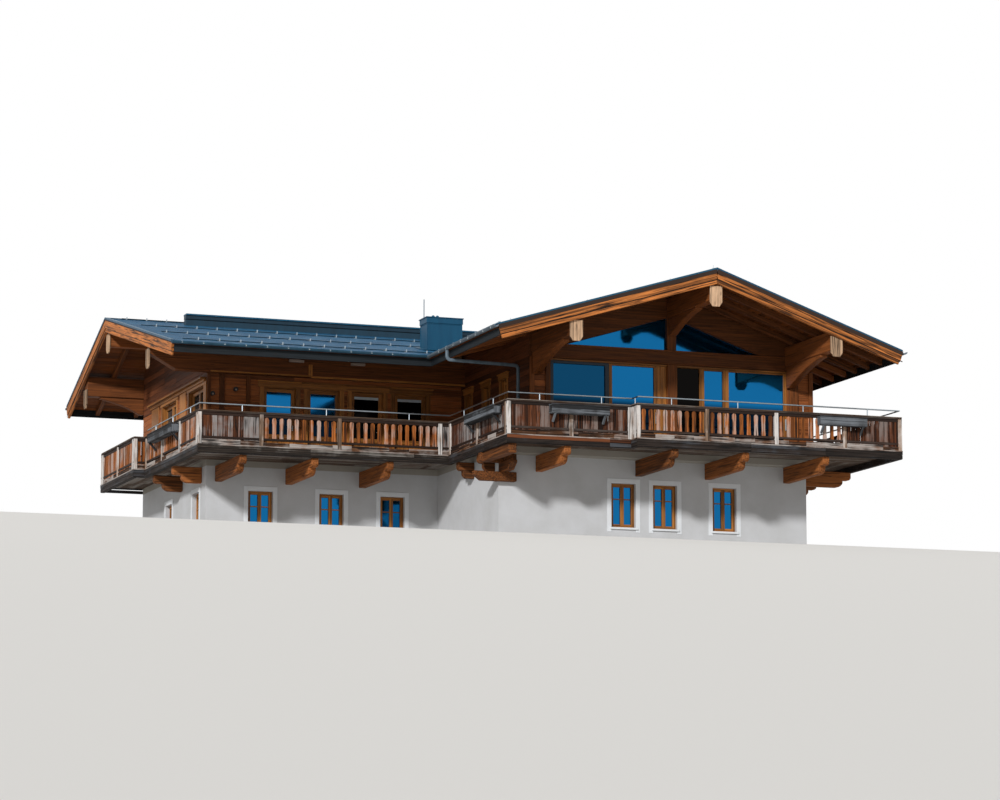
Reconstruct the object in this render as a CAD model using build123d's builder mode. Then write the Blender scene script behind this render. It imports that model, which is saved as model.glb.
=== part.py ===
from build123d import *
import os
from math import hypot

# Alpine chalet of two wings under one metal roof, in millimetres, +Z up.
# The origin lies at ground level, below the inner corner of the two wings.
os.makedirs("parts", exist_ok=True)

# Plan of the upper storey
front_wing_width = 9370
front_wing_length = 6130
side_wing_length = 8350
house_depth = 7930
upper_wall = 300

# Heights above the ground
floor_top = 3400
floor_thickness = 250
beam_drop = 212
beam_height = 450
ridge_height = 8400
front_eave_height = 6340
back_eave_height = 6270

# Roof overhangs, measured from the upper walls
overhang_gable = 3470
overhang_west = 2220
overhang_east = 1340
overhang_side_front = 3470
overhang_back = 2390
overhang_side_gable = 2040
ridge_from_west = 4660
ridge_from_front = 5040

# Roof build-up, measured upright
board_thickness = 50
metal_thickness = 80
metal_lip = 40
rafter_height = 180
rafter_width = 140
rafter_gap = 880
rafter_first = 300
ridge_joint = 2
eave_board = 40
eave_board_height = 280
verge_height = 400
verge_thickness = 70
verge_return = 90

# Purlins and their end boards
purlin_width = 300
ridge_purlin_drop = 870
west_purlin_x = 200
east_purlin_x = 8600
purlin_bottom = 6240
side_purlin_bottom = 6040
back_purlin_bottom = 6350
purlin_taper = 850
purlin_taper_rise = 470
purlin_setback = 180
end_board_width = 400
end_board_height = 620
end_board_thickness = 45
end_board_chamfer = 90
end_board_hang = 200
corbel_timber_width = 240
ridge_corbel_reach = 2100
ridge_corbel_depth = 550
eave_corbel_reach = 2500
eave_corbel_depth = 700
back_corbel_reach = 1470
back_corbel_depth = 530

# Ground storey
ground_wall = 350
ground_west_step = 800
ground_front_step = 530
ground_window_width = 800
ground_window_height = 1350
ground_window_top = 2430
ground_slab = 150

# Windows and doors of the upper storey
door_width = 1080
door_height = 2300
door_pitch = 1430
door_first = -6010
frame_depth = 90
frame_bar = 90
glass_thickness = 24
gable_door_width = 1800
slit_width = 600
slit_height = 1650
slit_sill = 650
slit_pitch = 1600
slit_first = -750
left_bars = [0.5]
right_bars = [0.23, 0.45]

# Centres of the openings
front_windows = [3250, 4620, 6600]
side_front_windows = [-6600, -4300, -2300]
east_windows = [-3600, -400, 2800, 6000]
back_windows = [-6300, -3700, -1100, 1700, 4500, 7300]
gable_windows = [1200, 4500]

# Facade posts
facade_side = 680
centre_post = 300
east_side = 830
top_plate_share = 0.29

# Balcony
deck_thickness = 60
side_depth = 2950
side_wing_strip = 1070
side_wing_jog = 360
side_wing_jog_y = 3500
west_strip = 1460
front_depth = 2020
front_jog = 460
front_jog_x = 2470
east_strip = 1830
east_run_end = 0
edge_beam_width = 140
rail_height = 1050
handrail_width = 150
handrail_height = 70
rail_post = 120
baluster_width = 130
baluster_gap = 90
baluster_waist = 80
baluster_thickness = 32
lower_rail_height = 70
lower_rail_level = 190
skirting_height = 150

# Consoles that carry the balcony
console_width = 220
console_height = 260
corbel_height = 230
corbel_step = 520
short_corbel_step = 300
front_console_xs = [500, 3750, 6050, 8700]
side_console_xs = [-7960, -5700, -3300]
west_console_inset = 400
east_console_ys = [-5200, -2700]
gable_console_ys = [600, 2900]
stack_width = 240
stack_height = 280
stack_inner = 500
stack_reach = 850
stack_nose = 1000
edge_timber_inset = 80
edge_timber_width = 270

# Roof furniture
chimney_width = 1150
chimney_depth = 650
chimney_top = 7990
chimney_x = -1010
chimney_y = -915
chimney_cap = 170
chimney_cap_proud = 30
chimney_rod = 630
chimney_rod_radius = 14
parapet_height = 380
parapet_thickness = 260
parapet_y = 3760
parapet_west = -8070
gutter_width = 160
gutter_height = 78
gutter_wall = 12
gutter_lift = 35
downpipe_radius = 55
downpipe_inset = 830
downpipe_drop = 300
downpipe_bend = 120
box_depth = 260
box_height = 260
box_level = 4190
box_wall = 30
box_strut = 60
box_strut_drop = 230
front_box_x = 770
front_box_length = 1830
east_box_inset = 2070
east_box_length = 1550
west_box_inset = 1790
west_box_length = 2560
gable_box_y = 720
gable_box_length = 2900
stanchion_gap = 2300
pipe_radius = 22
pipe_lift = 200

# Derived lines
x_east = front_wing_width
y_front = -front_wing_length
x_side = -side_wing_length
y_back = house_depth
xa = -overhang_west
xb = x_east + overhang_east
yf = y_front - overhang_gable
yc = -overhang_side_front
yd = y_back + overhang_back
xl = x_side - overhang_side_gable
xr = ridge_from_west
yr = ridge_from_front
slope_a = (ridge_height - front_eave_height) / (xr - xa)
slope_b = (ridge_height - back_eave_height) / (xb - xr)
slope_c = (ridge_height - front_eave_height) / (yr - yc)
slope_d = (ridge_height - back_eave_height) / (yd - yr)
stack = board_thickness + rafter_height
x_ground = -ground_west_step
y_ground = y_front + ground_front_step
floor_bottom = floor_top - floor_thickness
deck_bottom = floor_top - deck_thickness
edge_beam_height = deck_bottom - floor_bottom


def roof_x(x):
    """Height of the roof line of the front wing at x."""
    if x < xr:
        return ridge_height - slope_a * (xr - x)
    return ridge_height - slope_b * (x - xr)


def roof_y(y):
    """Height of the roof line of the side wing at y."""
    if y < yr:
        return ridge_height - slope_c * (yr - y)
    return ridge_height - slope_d * (y - yr)


def band_x(x, low, high):
    """Corners of a band along the roof line of the front wing, from x to the ridge."""
    return [
        (x, roof_x(x) + low),
        (xr, ridge_height + low),
        (xr, ridge_height + high),
        (x, roof_x(x) + high),
    ]


def band_y(y, low, high):
    """Corners of a band along the roof line of the side wing, from y to the ridge."""
    return [
        (y, roof_y(y) + low),
        (yr, ridge_height + low),
        (yr, ridge_height + high),
        (y, roof_y(y) + high),
    ]


def panes(start, span, bars):
    """Middle and width of each clear pane between the bars of one opening."""
    edges = [0, *bars, 1]
    clear = []
    for a, b in zip(edges, edges[1:]):
        left = start + a * span + (frame_bar if a == 0 else frame_bar / 2)
        right = start + b * span - (frame_bar if b == 1 else frame_bar / 2)
        clear.append(((left + right) / 2, right - left))
    return clear


beam_top = min(roof_x(0), roof_x(x_east)) - beam_drop
beam_bottom = beam_top - beam_height
top_plate = top_plate_share * (ridge_height - front_eave_height)
plate_drop = board_thickness + rafter_height + top_plate

# Ground storey
with BuildPart() as ground_floor:
    with BuildSketch():
        with BuildLine():
            Polyline(
                (x_side + ground_wall, y_back - ground_wall),
                (x_side + ground_wall, ground_wall),
                (x_ground + ground_wall, ground_wall),
                (x_ground + ground_wall, y_ground + ground_wall),
                (x_east - ground_wall, y_ground + ground_wall),
                (x_east - ground_wall, y_back - ground_wall),
                close=True,
            )
        make_face()
    extrude(amount=ground_slab)

window_mid = ground_window_top - ground_window_height / 2

with BuildPart() as ground_wall_front:
    with BuildSketch(Plane.XY):
        with Locations(((x_ground + x_east) / 2, y_ground + ground_wall / 2)):
            Rectangle(x_east - x_ground, ground_wall)
    extrude(amount=floor_bottom)
    with Locations(*[(x, y_ground + ground_wall / 2, window_mid) for x in front_windows]):
        Box(ground_window_width, 2 * ground_wall, ground_window_height, mode=Mode.SUBTRACT)

with BuildPart() as ground_wall_west:
    with BuildSketch():
        with Locations((x_ground + ground_wall / 2, (y_ground + ground_wall) / 2)):
            Rectangle(ground_wall, -(y_ground + ground_wall))
    extrude(amount=floor_bottom)

with BuildPart() as ground_wall_side_front:
    with BuildSketch():
        with Locations(((x_side + x_ground + ground_wall) / 2, ground_wall / 2)):
            Rectangle(x_ground + ground_wall - x_side, ground_wall)
    extrude(amount=floor_bottom)
    with Locations(*[(x, ground_wall / 2, window_mid) for x in side_front_windows]):
        Box(ground_window_width, 2 * ground_wall, ground_window_height, mode=Mode.SUBTRACT)

with BuildPart() as ground_wall_side_gable:
    with BuildSketch():
        with Locations((x_side + ground_wall / 2, y_back / 2)):
            Rectangle(ground_wall, y_back - 2 * ground_wall)
    extrude(amount=floor_bottom)
    with Locations(*[(x_side + ground_wall / 2, y, window_mid) for y in gable_windows]):
        Box(2 * ground_wall, ground_window_width, ground_window_height, mode=Mode.SUBTRACT)

with BuildPart() as ground_wall_back:
    with BuildSketch():
        with Locations(((x_side + x_east) / 2, y_back - ground_wall / 2)):
            Rectangle(x_east - x_side, ground_wall)
    extrude(amount=floor_bottom)
    with Locations(*[(x, y_back - ground_wall / 2, window_mid) for x in back_windows]):
        Box(ground_window_width, 2 * ground_wall, ground_window_height, mode=Mode.SUBTRACT)

with BuildPart() as ground_wall_east:
    with BuildSketch():
        with Locations((x_east - ground_wall / 2, (y_ground + y_back) / 2)):
            Rectangle(ground_wall, y_back - y_ground - 2 * ground_wall)
    extrude(amount=floor_bottom)
    with Locations(*[(x_east - ground_wall / 2, y, window_mid) for y in east_windows]):
        Box(2 * ground_wall, ground_window_width, ground_window_height, mode=Mode.SUBTRACT)

clear_width = ground_window_width - 2 * frame_bar
clear_height = ground_window_height - 2 * frame_bar
recess = (frame_depth - glass_thickness) / 2
with BuildPart() as ground_windows:
    for y, xs in ((y_ground, front_windows), (0, side_front_windows), (y_back - ground_wall, back_windows)):
        with Locations(*[(x, y + ground_wall / 2, window_mid) for x in xs]):
            Box(ground_window_width, frame_depth, ground_window_height)
            for side in (-1, 1):
                with Locations((0, side * (frame_depth - recess) / 2, 0)):
                    Box(clear_width, recess, clear_height, mode=Mode.SUBTRACT)
    for x, ys in ((x_side, gable_windows), (x_east - ground_wall, east_windows)):
        with Locations(*[(x + ground_wall / 2, y, window_mid) for y in ys]):
            Box(frame_depth, ground_window_width, ground_window_height)
            for side in (-1, 1):
                with Locations((side * (frame_depth - recess) / 2, 0, 0)):
                    Box(recess, clear_width, clear_height, mode=Mode.SUBTRACT)

# Floor of the upper storey
with BuildPart() as upper_floor:
    with BuildSketch(Plane.XY.offset(floor_bottom)):
        with BuildLine():
            Polyline(
                (x_side, y_back),
                (x_side, 0),
                (x_ground, 0),
                (x_ground, y_front),
                (x_east, y_front),
                (x_east, y_back),
                close=True,
            )
        make_face()
    extrude(amount=floor_thickness)

# Upper walls
door_mid = floor_top + door_height / 2
slit_mid = floor_top + slit_sill + slit_height / 2
door_xs = [door_first + door_pitch * i for i in range(4)]
slit_ys = [slit_first - slit_pitch * i for i in range(3)]

with BuildPart() as west_wall:
    with BuildSketch(Plane.XZ.offset(-upper_wall)):
        with BuildLine():
            Polyline(
                (0, floor_top),
                (upper_wall, floor_top),
                (upper_wall, roof_x(upper_wall) - board_thickness),
                (0, roof_x(0) - board_thickness),
                close=True,
            )
        make_face()
    extrude(amount=front_wing_length)
    with Locations(*[(upper_wall / 2, y, slit_mid) for y in slit_ys]):
        Box(2 * upper_wall, slit_width, slit_height, mode=Mode.SUBTRACT)

with BuildPart() as east_wall:
    with BuildSketch(Plane.XZ.offset(-(y_back - upper_wall))):
        with BuildLine():
            Polyline(
                (x_east, floor_top),
                (x_east - upper_wall, floor_top),
                (x_east - upper_wall, roof_x(x_east - upper_wall) - board_thickness),
                (x_east, roof_x(x_east) - board_thickness),
                close=True,
            )
        make_face()
    extrude(amount=y_back - y_front - 2 * upper_wall)
    with Locations(*[(x_east - upper_wall / 2, y, door_mid) for y in east_windows]):
        Box(2 * upper_wall, door_width, door_height, mode=Mode.SUBTRACT)

with BuildPart() as side_front_wall:
    with BuildSketch(Plane.YZ.offset(x_side)):
        with BuildLine():
            Polyline(
                (0, floor_top),
                (upper_wall, floor_top),
                (upper_wall, roof_y(upper_wall) - board_thickness),
                (0, roof_y(0) - board_thickness),
                close=True,
            )
        make_face()
    extrude(amount=side_wing_length)
    with Locations(*[(x, upper_wall / 2, door_mid) for x in door_xs]):
        Box(door_width, 2 * upper_wall, door_height, mode=Mode.SUBTRACT)

with BuildPart() as back_wall:
    with BuildSketch(Plane.YZ.offset(x_side)):
        with BuildLine():
            Polyline(
                (y_back, floor_top),
                (y_back - upper_wall, floor_top),
                (y_back - upper_wall, roof_y(y_back - upper_wall) - board_thickness),
                (y_back, roof_y(y_back) - board_thickness),
                close=True,
            )
        make_face()
    extrude(amount=x_east - x_side)
    with BuildSketch(Plane.XZ.offset(-y_back)):
        with BuildLine():
            Polyline(
                (x_east, roof_x(x_east) - board_thickness),
                (xr, ridge_height - board_thickness),
                (xr, 2 * ridge_height),
                (x_east, 2 * ridge_height),
                close=True,
            )
        make_face()
    extrude(amount=upper_wall, mode=Mode.SUBTRACT)
    with Locations(*[(x, y_back - upper_wall / 2, slit_mid) for x in back_windows]):
        Box(door_width, 2 * upper_wall, slit_height, mode=Mode.SUBTRACT)

with BuildPart() as side_gable_wall:
    with BuildSketch(Plane.YZ.offset(x_side)):
        with BuildLine():
            Polyline(
                (upper_wall, floor_top),
                (y_back - upper_wall, floor_top),
                (y_back - upper_wall, roof_y(y_back - upper_wall) - board_thickness),
                (yr, ridge_height - board_thickness),
                (upper_wall, roof_y(upper_wall) - board_thickness),
                close=True,
            )
        make_face()
        with Locations((yr, ridge_height)):
            Rectangle(purlin_width, 2 * ridge_purlin_drop, mode=Mode.SUBTRACT)
    extrude(amount=upper_wall)
    with Locations(*[(x_side + upper_wall / 2, y, door_mid) for y in gable_windows]):
        Box(2 * upper_wall, gable_door_width, door_height, mode=Mode.SUBTRACT)

# Glazed gable front: posts, tie beam and raking plates
post_left = xr - centre_post / 2
post_right = xr + centre_post / 2
with BuildPart() as facade_posts:
    with BuildSketch(Plane.XY.offset(floor_top)):
        with Locations((facade_side / 2, y_front + upper_wall / 2)):
            Rectangle(facade_side, upper_wall)
        with Locations((xr, y_front + upper_wall / 2)):
            Rectangle(centre_post, upper_wall)
        with Locations((x_east - east_side / 2, y_front + upper_wall / 2)):
            Rectangle(east_side, upper_wall)
    extrude(amount=beam_bottom - floor_top)
    with BuildSketch(Plane.XY.offset(beam_top)):
        with Locations((xr, y_front + upper_wall / 2)):
            Rectangle(centre_post, upper_wall)
    extrude(amount=ridge_height - ridge_purlin_drop - beam_top)

with BuildPart() as tie_beam:
    with BuildSketch(Plane.XZ.offset(-y_front)):
        with Locations((x_east / 2, beam_bottom + beam_height / 2)):
            Rectangle(x_east, beam_height)
    extrude(amount=-upper_wall)

with BuildPart() as gable_plates:
    with BuildSketch(Plane.XZ.offset(-y_front)):
        for x, post in ((0, post_left), (x_east, post_right)):
            with BuildLine():
                Polyline(
                    (x, roof_x(x) - board_thickness),
                    (post, roof_x(post) - board_thickness),
                    (post, roof_x(post) - plate_drop),
                    (x, roof_x(x) - plate_drop),
                    close=True,
                )
            make_face()
        with Locations((x_east / 2, beam_top / 2)):
            Rectangle(x_east, beam_top, mode=Mode.SUBTRACT)
    extrude(amount=-upper_wall)

glass_y = y_front + upper_wall / 2
with BuildPart() as gable_glass:
    with BuildSketch(Plane.XZ.offset(-(glass_y - glass_thickness / 2))):
        for x, post in ((0, post_left), (x_east, post_right)):
            with BuildLine():
                Polyline(
                    (x, 0),
                    (post, 0),
                    (post, roof_x(post) - plate_drop),
                    (x, roof_x(x) - plate_drop),
                    close=True,
                )
            make_face()
        with Locations((x_east / 2, beam_top / 2)):
            Rectangle(x_east, beam_top, mode=Mode.SUBTRACT)
    extrude(amount=-glass_thickness)

# Sliding doors of the facade, with a bar between the leaves
opening_height = beam_bottom - floor_top
opening_mid = floor_top + opening_height / 2
left_span = post_left - facade_side
right_span = x_east - east_side - post_right
openings = ((facade_side, left_span, left_bars), (post_right, right_span, right_bars))
with BuildPart() as sliding_frames:
    for start, span, bars in openings:
        with BuildSketch(Plane.XZ.offset(-(glass_y - frame_depth / 2))):
            with Locations((start + span / 2, opening_mid)):
                Rectangle(span, opening_height)
            for mid, width in panes(start, span, bars):
                with Locations((mid, opening_mid)):
                    Rectangle(width, opening_height - 2 * frame_bar, mode=Mode.SUBTRACT)
        extrude(amount=-frame_depth)

with BuildPart() as sliding_glass:
    for start, span, bars in openings:
        for mid, width in panes(start, span, bars):
            with Locations((mid, glass_y, opening_mid)):
                Box(width, glass_thickness, opening_height - 2 * frame_bar)

# Glazed doors and windows of the other upper walls
with BuildPart() as upper_frames:
    with BuildSketch(Plane.XZ.offset(-(upper_wall - frame_depth) / 2)):
        with Locations(*[(x, door_mid) for x in door_xs]):
            Rectangle(door_width, door_height)
            Rectangle(door_width - 2 * frame_bar, door_height - 2 * frame_bar, mode=Mode.SUBTRACT)
    extrude(amount=-frame_depth)
    with BuildSketch(Plane.YZ.offset((upper_wall - frame_depth) / 2)):
        with Locations(*[(y, slit_mid) for y in slit_ys]):
            Rectangle(slit_width, slit_height)
            Rectangle(slit_width - 2 * frame_bar, slit_height - 2 * frame_bar, mode=Mode.SUBTRACT)
    extrude(amount=frame_depth)
    with BuildSketch(Plane.YZ.offset(x_side + (upper_wall - frame_depth) / 2)):
        with Locations(*[(y, door_mid) for y in gable_windows]):
            Rectangle(gable_door_width, door_height)
            Rectangle(gable_door_width - 2 * frame_bar, door_height - 2 * frame_bar, mode=Mode.SUBTRACT)
    extrude(amount=frame_depth)
    with BuildSketch(Plane.YZ.offset(x_east - (upper_wall + frame_depth) / 2)):
        with Locations(*[(y, door_mid) for y in east_windows]):
            Rectangle(door_width, door_height)
            Rectangle(door_width - 2 * frame_bar, door_height - 2 * frame_bar, mode=Mode.SUBTRACT)
    extrude(amount=frame_depth)
    with BuildSketch(Plane.XZ.offset(-(y_back - (upper_wall + frame_depth) / 2))):
        with Locations(*[(x, slit_mid) for x in back_windows]):
            Rectangle(door_width, slit_height)
            Rectangle(door_width - 2 * frame_bar, slit_height - 2 * frame_bar, mode=Mode.SUBTRACT)
    extrude(amount=-frame_depth)

with BuildPart() as upper_glass:
    with Locations(*[(x, upper_wall / 2, door_mid) for x in door_xs]):
        Box(door_width - 2 * frame_bar, glass_thickness, door_height - 2 * frame_bar)
    with Locations(*[(upper_wall / 2, y, slit_mid) for y in slit_ys]):
        Box(glass_thickness, slit_width - 2 * frame_bar, slit_height - 2 * frame_bar)
    with Locations(*[(x_side + upper_wall / 2, y, door_mid) for y in gable_windows]):
        Box(glass_thickness, gable_door_width - 2 * frame_bar, door_height - 2 * frame_bar)
    with Locations(*[(x_east - upper_wall / 2, y, door_mid) for y in east_windows]):
        Box(glass_thickness, door_width - 2 * frame_bar, door_height - 2 * frame_bar)
    with Locations(*[(x, y_back - upper_wall / 2, slit_mid) for x in back_windows]):
        Box(door_width - 2 * frame_bar, glass_thickness, slit_height - 2 * frame_bar)

# Roof slopes: boards below, metal covering on top
with BuildPart() as boards_west:
    with BuildSketch(Plane.XZ.offset(-yf)):
        with BuildLine():
            Polyline(*band_x(xa, -board_thickness, 0), close=True)
        make_face()
    extrude(amount=-(yr - yf))
    with BuildSketch():
        with BuildLine():
            Polyline((xa, yf), (xr, yf), (xr, yr), (xa, yc), close=True)
        make_face()
    extrude(amount=2 * ridge_height, mode=Mode.INTERSECT)

with BuildPart() as boards_east:
    with BuildSketch(Plane.XZ.offset(-yf)):
        with BuildLine():
            Polyline(*band_x(xb, -board_thickness, 0), close=True)
        make_face()
    extrude(amount=-(yd - yf))
    with BuildSketch():
        with BuildLine():
            Polyline((xr, yf), (xb, yf), (xb, yd), (xr, yr), close=True)
        make_face()
    extrude(amount=2 * ridge_height, mode=Mode.INTERSECT)

with BuildPart() as boards_side_front:
    with BuildSketch(Plane.YZ.offset(xl)):
        with BuildLine():
            Polyline(*band_y(yc, -board_thickness, 0), close=True)
        make_face()
    extrude(amount=xr - xl)
    with BuildSketch():
        with BuildLine():
            Polyline((xl, yc), (xa, yc), (xr, yr), (xl, yr), close=True)
        make_face()
    extrude(amount=2 * ridge_height, mode=Mode.INTERSECT)

with BuildPart() as boards_back:
    with BuildSketch(Plane.YZ.offset(xl)):
        with BuildLine():
            Polyline(*band_y(yd, -board_thickness, 0), close=True)
        make_face()
    extrude(amount=xb - xl)
    with BuildSketch():
        with BuildLine():
            Polyline((xl, yr), (xr, yr), (xb, yd), (xl, yd), close=True)
        make_face()
    extrude(amount=2 * ridge_height, mode=Mode.INTERSECT)

ma = xa - metal_lip
mb = xb + metal_lip
mf = yf - metal_lip
mc = yc - metal_lip * (yr - yc) / (xr - xa)
md = yd + metal_lip * (yd - yr) / (xb - xr)
ml = xl - metal_lip
with BuildPart() as metal_west:
    with BuildSketch(Plane.XZ.offset(-mf)):
        with BuildLine():
            Polyline(*band_x(ma, 0, metal_thickness), close=True)
        make_face()
    extrude(amount=-(yr - mf))
    with BuildSketch():
        with BuildLine():
            Polyline((ma, mf), (xr, mf), (xr, yr), (ma, mc), close=True)
        make_face()
    extrude(amount=2 * ridge_height, mode=Mode.INTERSECT)

with BuildPart() as metal_east:
    with BuildSketch(Plane.XZ.offset(-mf)):
        with BuildLine():
            Polyline(*band_x(mb, 0, metal_thickness), close=True)
        make_face()
    extrude(amount=-(md - mf))
    with BuildSketch():
        with BuildLine():
            Polyline((xr, mf), (mb, mf), (mb, md), (xr, yr), close=True)
        make_face()
    extrude(amount=2 * ridge_height, mode=Mode.INTERSECT)

with BuildPart() as metal_side_front:
    with BuildSketch(Plane.YZ.offset(ml)):
        with BuildLine():
            Polyline(*band_y(mc, 0, metal_thickness), close=True)
        make_face()
    extrude(amount=xr - ml)
    with BuildSketch():
        with BuildLine():
            Polyline((ml, mc), (ma, mc), (xr, yr), (ml, yr), close=True)
        make_face()
    extrude(amount=2 * ridge_height, mode=Mode.INTERSECT)

with BuildPart() as metal_back:
    with BuildSketch(Plane.YZ.offset(ml)):
        with BuildLine():
            Polyline(*band_y(md, 0, metal_thickness), close=True)
        make_face()
    extrude(amount=mb - ml)
    with BuildSketch():
        with BuildLine():
            Polyline((ml, yr), (xr, yr), (mb, md), (ml, md), close=True)
        make_face()
    extrude(amount=2 * ridge_height, mode=Mode.INTERSECT)

# Purlins with tops cut to the slope of the rafters
half = purlin_width / 2
y_purlin = yf + verge_thickness + end_board_thickness
x_purlin = xl + verge_thickness + end_board_thickness
with BuildPart() as ridge_purlin:
    with BuildSketch(Plane.XZ.offset(-y_purlin)):
        with BuildLine():
            Polyline(
                (xr - half, ridge_height - ridge_purlin_drop),
                (xr + half, ridge_height - ridge_purlin_drop),
                (xr + half, roof_x(xr + half) - stack),
                (xr, ridge_height - stack),
                (xr - half, roof_x(xr - half) - stack),
                close=True,
            )
        make_face()
    extrude(amount=-(yr - y_purlin))

with BuildPart() as side_ridge_purlin:
    with BuildSketch(Plane.YZ.offset(x_purlin)):
        with BuildLine():
            Polyline(
                (yr - half, ridge_height - ridge_purlin_drop),
                (yr + half, ridge_height - ridge_purlin_drop),
                (yr + half, roof_y(yr + half) - stack),
                (yr, ridge_height - stack),
                (yr - half, roof_y(yr - half) - stack),
                close=True,
            )
        make_face()
    extrude(amount=xr - half - x_purlin)

side_width = 2 * purlin_setback
with BuildPart() as eave_purlins:
    with BuildSketch(Plane.XZ.offset(-y_purlin)):
        for x in (west_purlin_x, east_purlin_x):
            with BuildLine():
                Polyline(
                    (x - half, purlin_bottom),
                    (x + half, purlin_bottom),
                    (x + half, roof_x(x + half) - stack),
                    (x - half, roof_x(x - half) - stack),
                    close=True,
                )
            make_face()
    extrude(amount=-(y_front - y_purlin))
    with BuildSketch(Plane.YZ.offset(x_purlin)):
        for y, bottom in ((-side_width, side_purlin_bottom), (y_back, back_purlin_bottom)):
            with BuildLine():
                Polyline(
                    (y, bottom),
                    (y + side_width, bottom),
                    (y + side_width, roof_y(y + side_width) - stack),
                    (y, roof_y(y) - stack),
                    close=True,
                )
            make_face()
    extrude(amount=-x_purlin)
    with BuildSketch(Plane.XZ.offset(side_width)):
        with BuildLine():
            Polyline(
                (x_purlin, side_purlin_bottom),
                (x_purlin + purlin_taper, side_purlin_bottom),
                (x_purlin, side_purlin_bottom + purlin_taper_rise),
                close=True,
            )
        make_face()
    extrude(amount=-side_width, mode=Mode.SUBTRACT)

# Bargeboards
with BuildPart() as bargeboards:
    with BuildSketch(Plane.XZ.offset(-yf)):
        for x, turn in ((xa, 1), (xb, -1)):
            with BuildLine():
                Polyline(
                    (x, roof_x(x) - board_thickness),
                    (xr - turn * ridge_joint, roof_x(xr - turn * ridge_joint) - board_thickness),
                    (xr - turn * ridge_joint, roof_x(xr - turn * ridge_joint) - verge_height),
                    (x + turn * verge_return, roof_x(x + turn * verge_return) - verge_height),
                    close=True,
                )
            make_face()
    extrude(amount=-verge_thickness)
    with BuildSketch(Plane.YZ.offset(xl)):
        for y, turn in ((yc, 1), (yd, -1)):
            with BuildLine():
                Polyline(
                    (y, roof_y(y) - board_thickness),
                    (yr - turn * ridge_joint, roof_y(yr - turn * ridge_joint) - board_thickness),
                    (yr - turn * ridge_joint, roof_y(yr - turn * ridge_joint) - verge_height),
                    (y + turn * verge_return, roof_y(y + turn * verge_return) - verge_height),
                    close=True,
                )
            make_face()
    extrude(amount=verge_thickness)

# Chimney and roof upstand
with BuildPart() as chimney:
    with BuildSketch(Plane.YZ.offset(chimney_x - chimney_width / 2)):
        with BuildLine():
            Polyline(
                (chimney_y - chimney_depth / 2, roof_y(chimney_y - chimney_depth / 2) + metal_thickness),
                (chimney_y + chimney_depth / 2, roof_y(chimney_y + chimney_depth / 2) + metal_thickness),
                (chimney_y + chimney_depth / 2, chimney_top),
                (chimney_y - chimney_depth / 2, chimney_top),
                close=True,
            )
        make_face()
    extrude(amount=chimney_width)
    with Locations((chimney_x, chimney_y, chimney_top - chimney_cap / 2)):
        Box(
            chimney_width + 2 * chimney_cap_proud,
            chimney_depth + 2 * chimney_cap_proud,
            chimney_cap,
        )
    with BuildSketch(Plane.XY.offset(chimney_top)):
        with Locations((chimney_x - chimney_width / 2, chimney_y)):
            RegularPolygon(chimney_rod_radius, 8)
    extrude(amount=chimney_rod)

with BuildPart() as roof_upstand:
    with BuildSketch(Plane.YZ.offset(parapet_west)):
        with BuildLine():
            Polyline(
                (parapet_y, roof_y(parapet_y) + metal_thickness),
                (parapet_y + parapet_thickness, roof_y(parapet_y + parapet_thickness) + metal_thickness),
                (parapet_y + parapet_thickness, roof_y(parapet_y) + metal_thickness + parapet_height),
                (parapet_y, roof_y(parapet_y) + metal_thickness + parapet_height),
                close=True,
            )
        make_face()
    extrude(amount=xr - (yr - parapet_y) * slope_c / slope_a - parapet_west)

# Balcony deck and edge beams
x_deck_side = x_side - side_wing_strip
x_deck_jog = x_deck_side - side_wing_jog
y_deck_side = -side_depth
x_deck_west = -west_strip
y_deck_front = y_front - front_depth
y_deck_jog = y_deck_front - front_jog
x_deck_east = x_east + east_strip
outer = [
    (x_deck_jog, y_back),
    (x_deck_jog, side_wing_jog_y),
    (x_deck_side, side_wing_jog_y),
    (x_deck_side, y_deck_side),
    (x_deck_west, y_deck_side),
    (x_deck_west, y_deck_front),
    (front_jog_x, y_deck_front),
    (front_jog_x, y_deck_jog),
    (x_deck_east, y_deck_jog),
    (x_deck_east, east_run_end),
]
inner = [
    (x_east, east_run_end),
    (x_east, y_front),
    (x_ground, y_front),
    (x_ground, 0),
    (x_side, 0),
    (x_side, y_back),
]
with BuildPart() as balcony_deck:
    with BuildSketch(Plane.XY.offset(deck_bottom)):
        with BuildLine():
            Polyline(*outer, *inner, close=True)
        make_face()
    extrude(amount=deck_thickness)

inset = [
    (x_deck_east - edge_beam_width, east_run_end),
    (x_deck_east - edge_beam_width, y_deck_jog + edge_beam_width),
    (front_jog_x + edge_beam_width, y_deck_jog + edge_beam_width),
    (front_jog_x + edge_beam_width, y_deck_front + edge_beam_width),
    (x_deck_west + edge_beam_width, y_deck_front + edge_beam_width),
    (x_deck_west + edge_beam_width, y_deck_side + edge_beam_width),
    (x_deck_side + edge_beam_width, y_deck_side + edge_beam_width),
    (x_deck_side + edge_beam_width, side_wing_jog_y + edge_beam_width),
    (x_deck_jog + edge_beam_width, side_wing_jog_y + edge_beam_width),
    (x_deck_jog + edge_beam_width, y_back),
]
with BuildPart() as edge_beams:
    with BuildSketch(Plane.XY.offset(deck_bottom - edge_beam_height)):
        with BuildLine():
            Polyline(*outer, *inset, close=True)
        make_face()
    extrude(amount=edge_beam_height)


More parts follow.
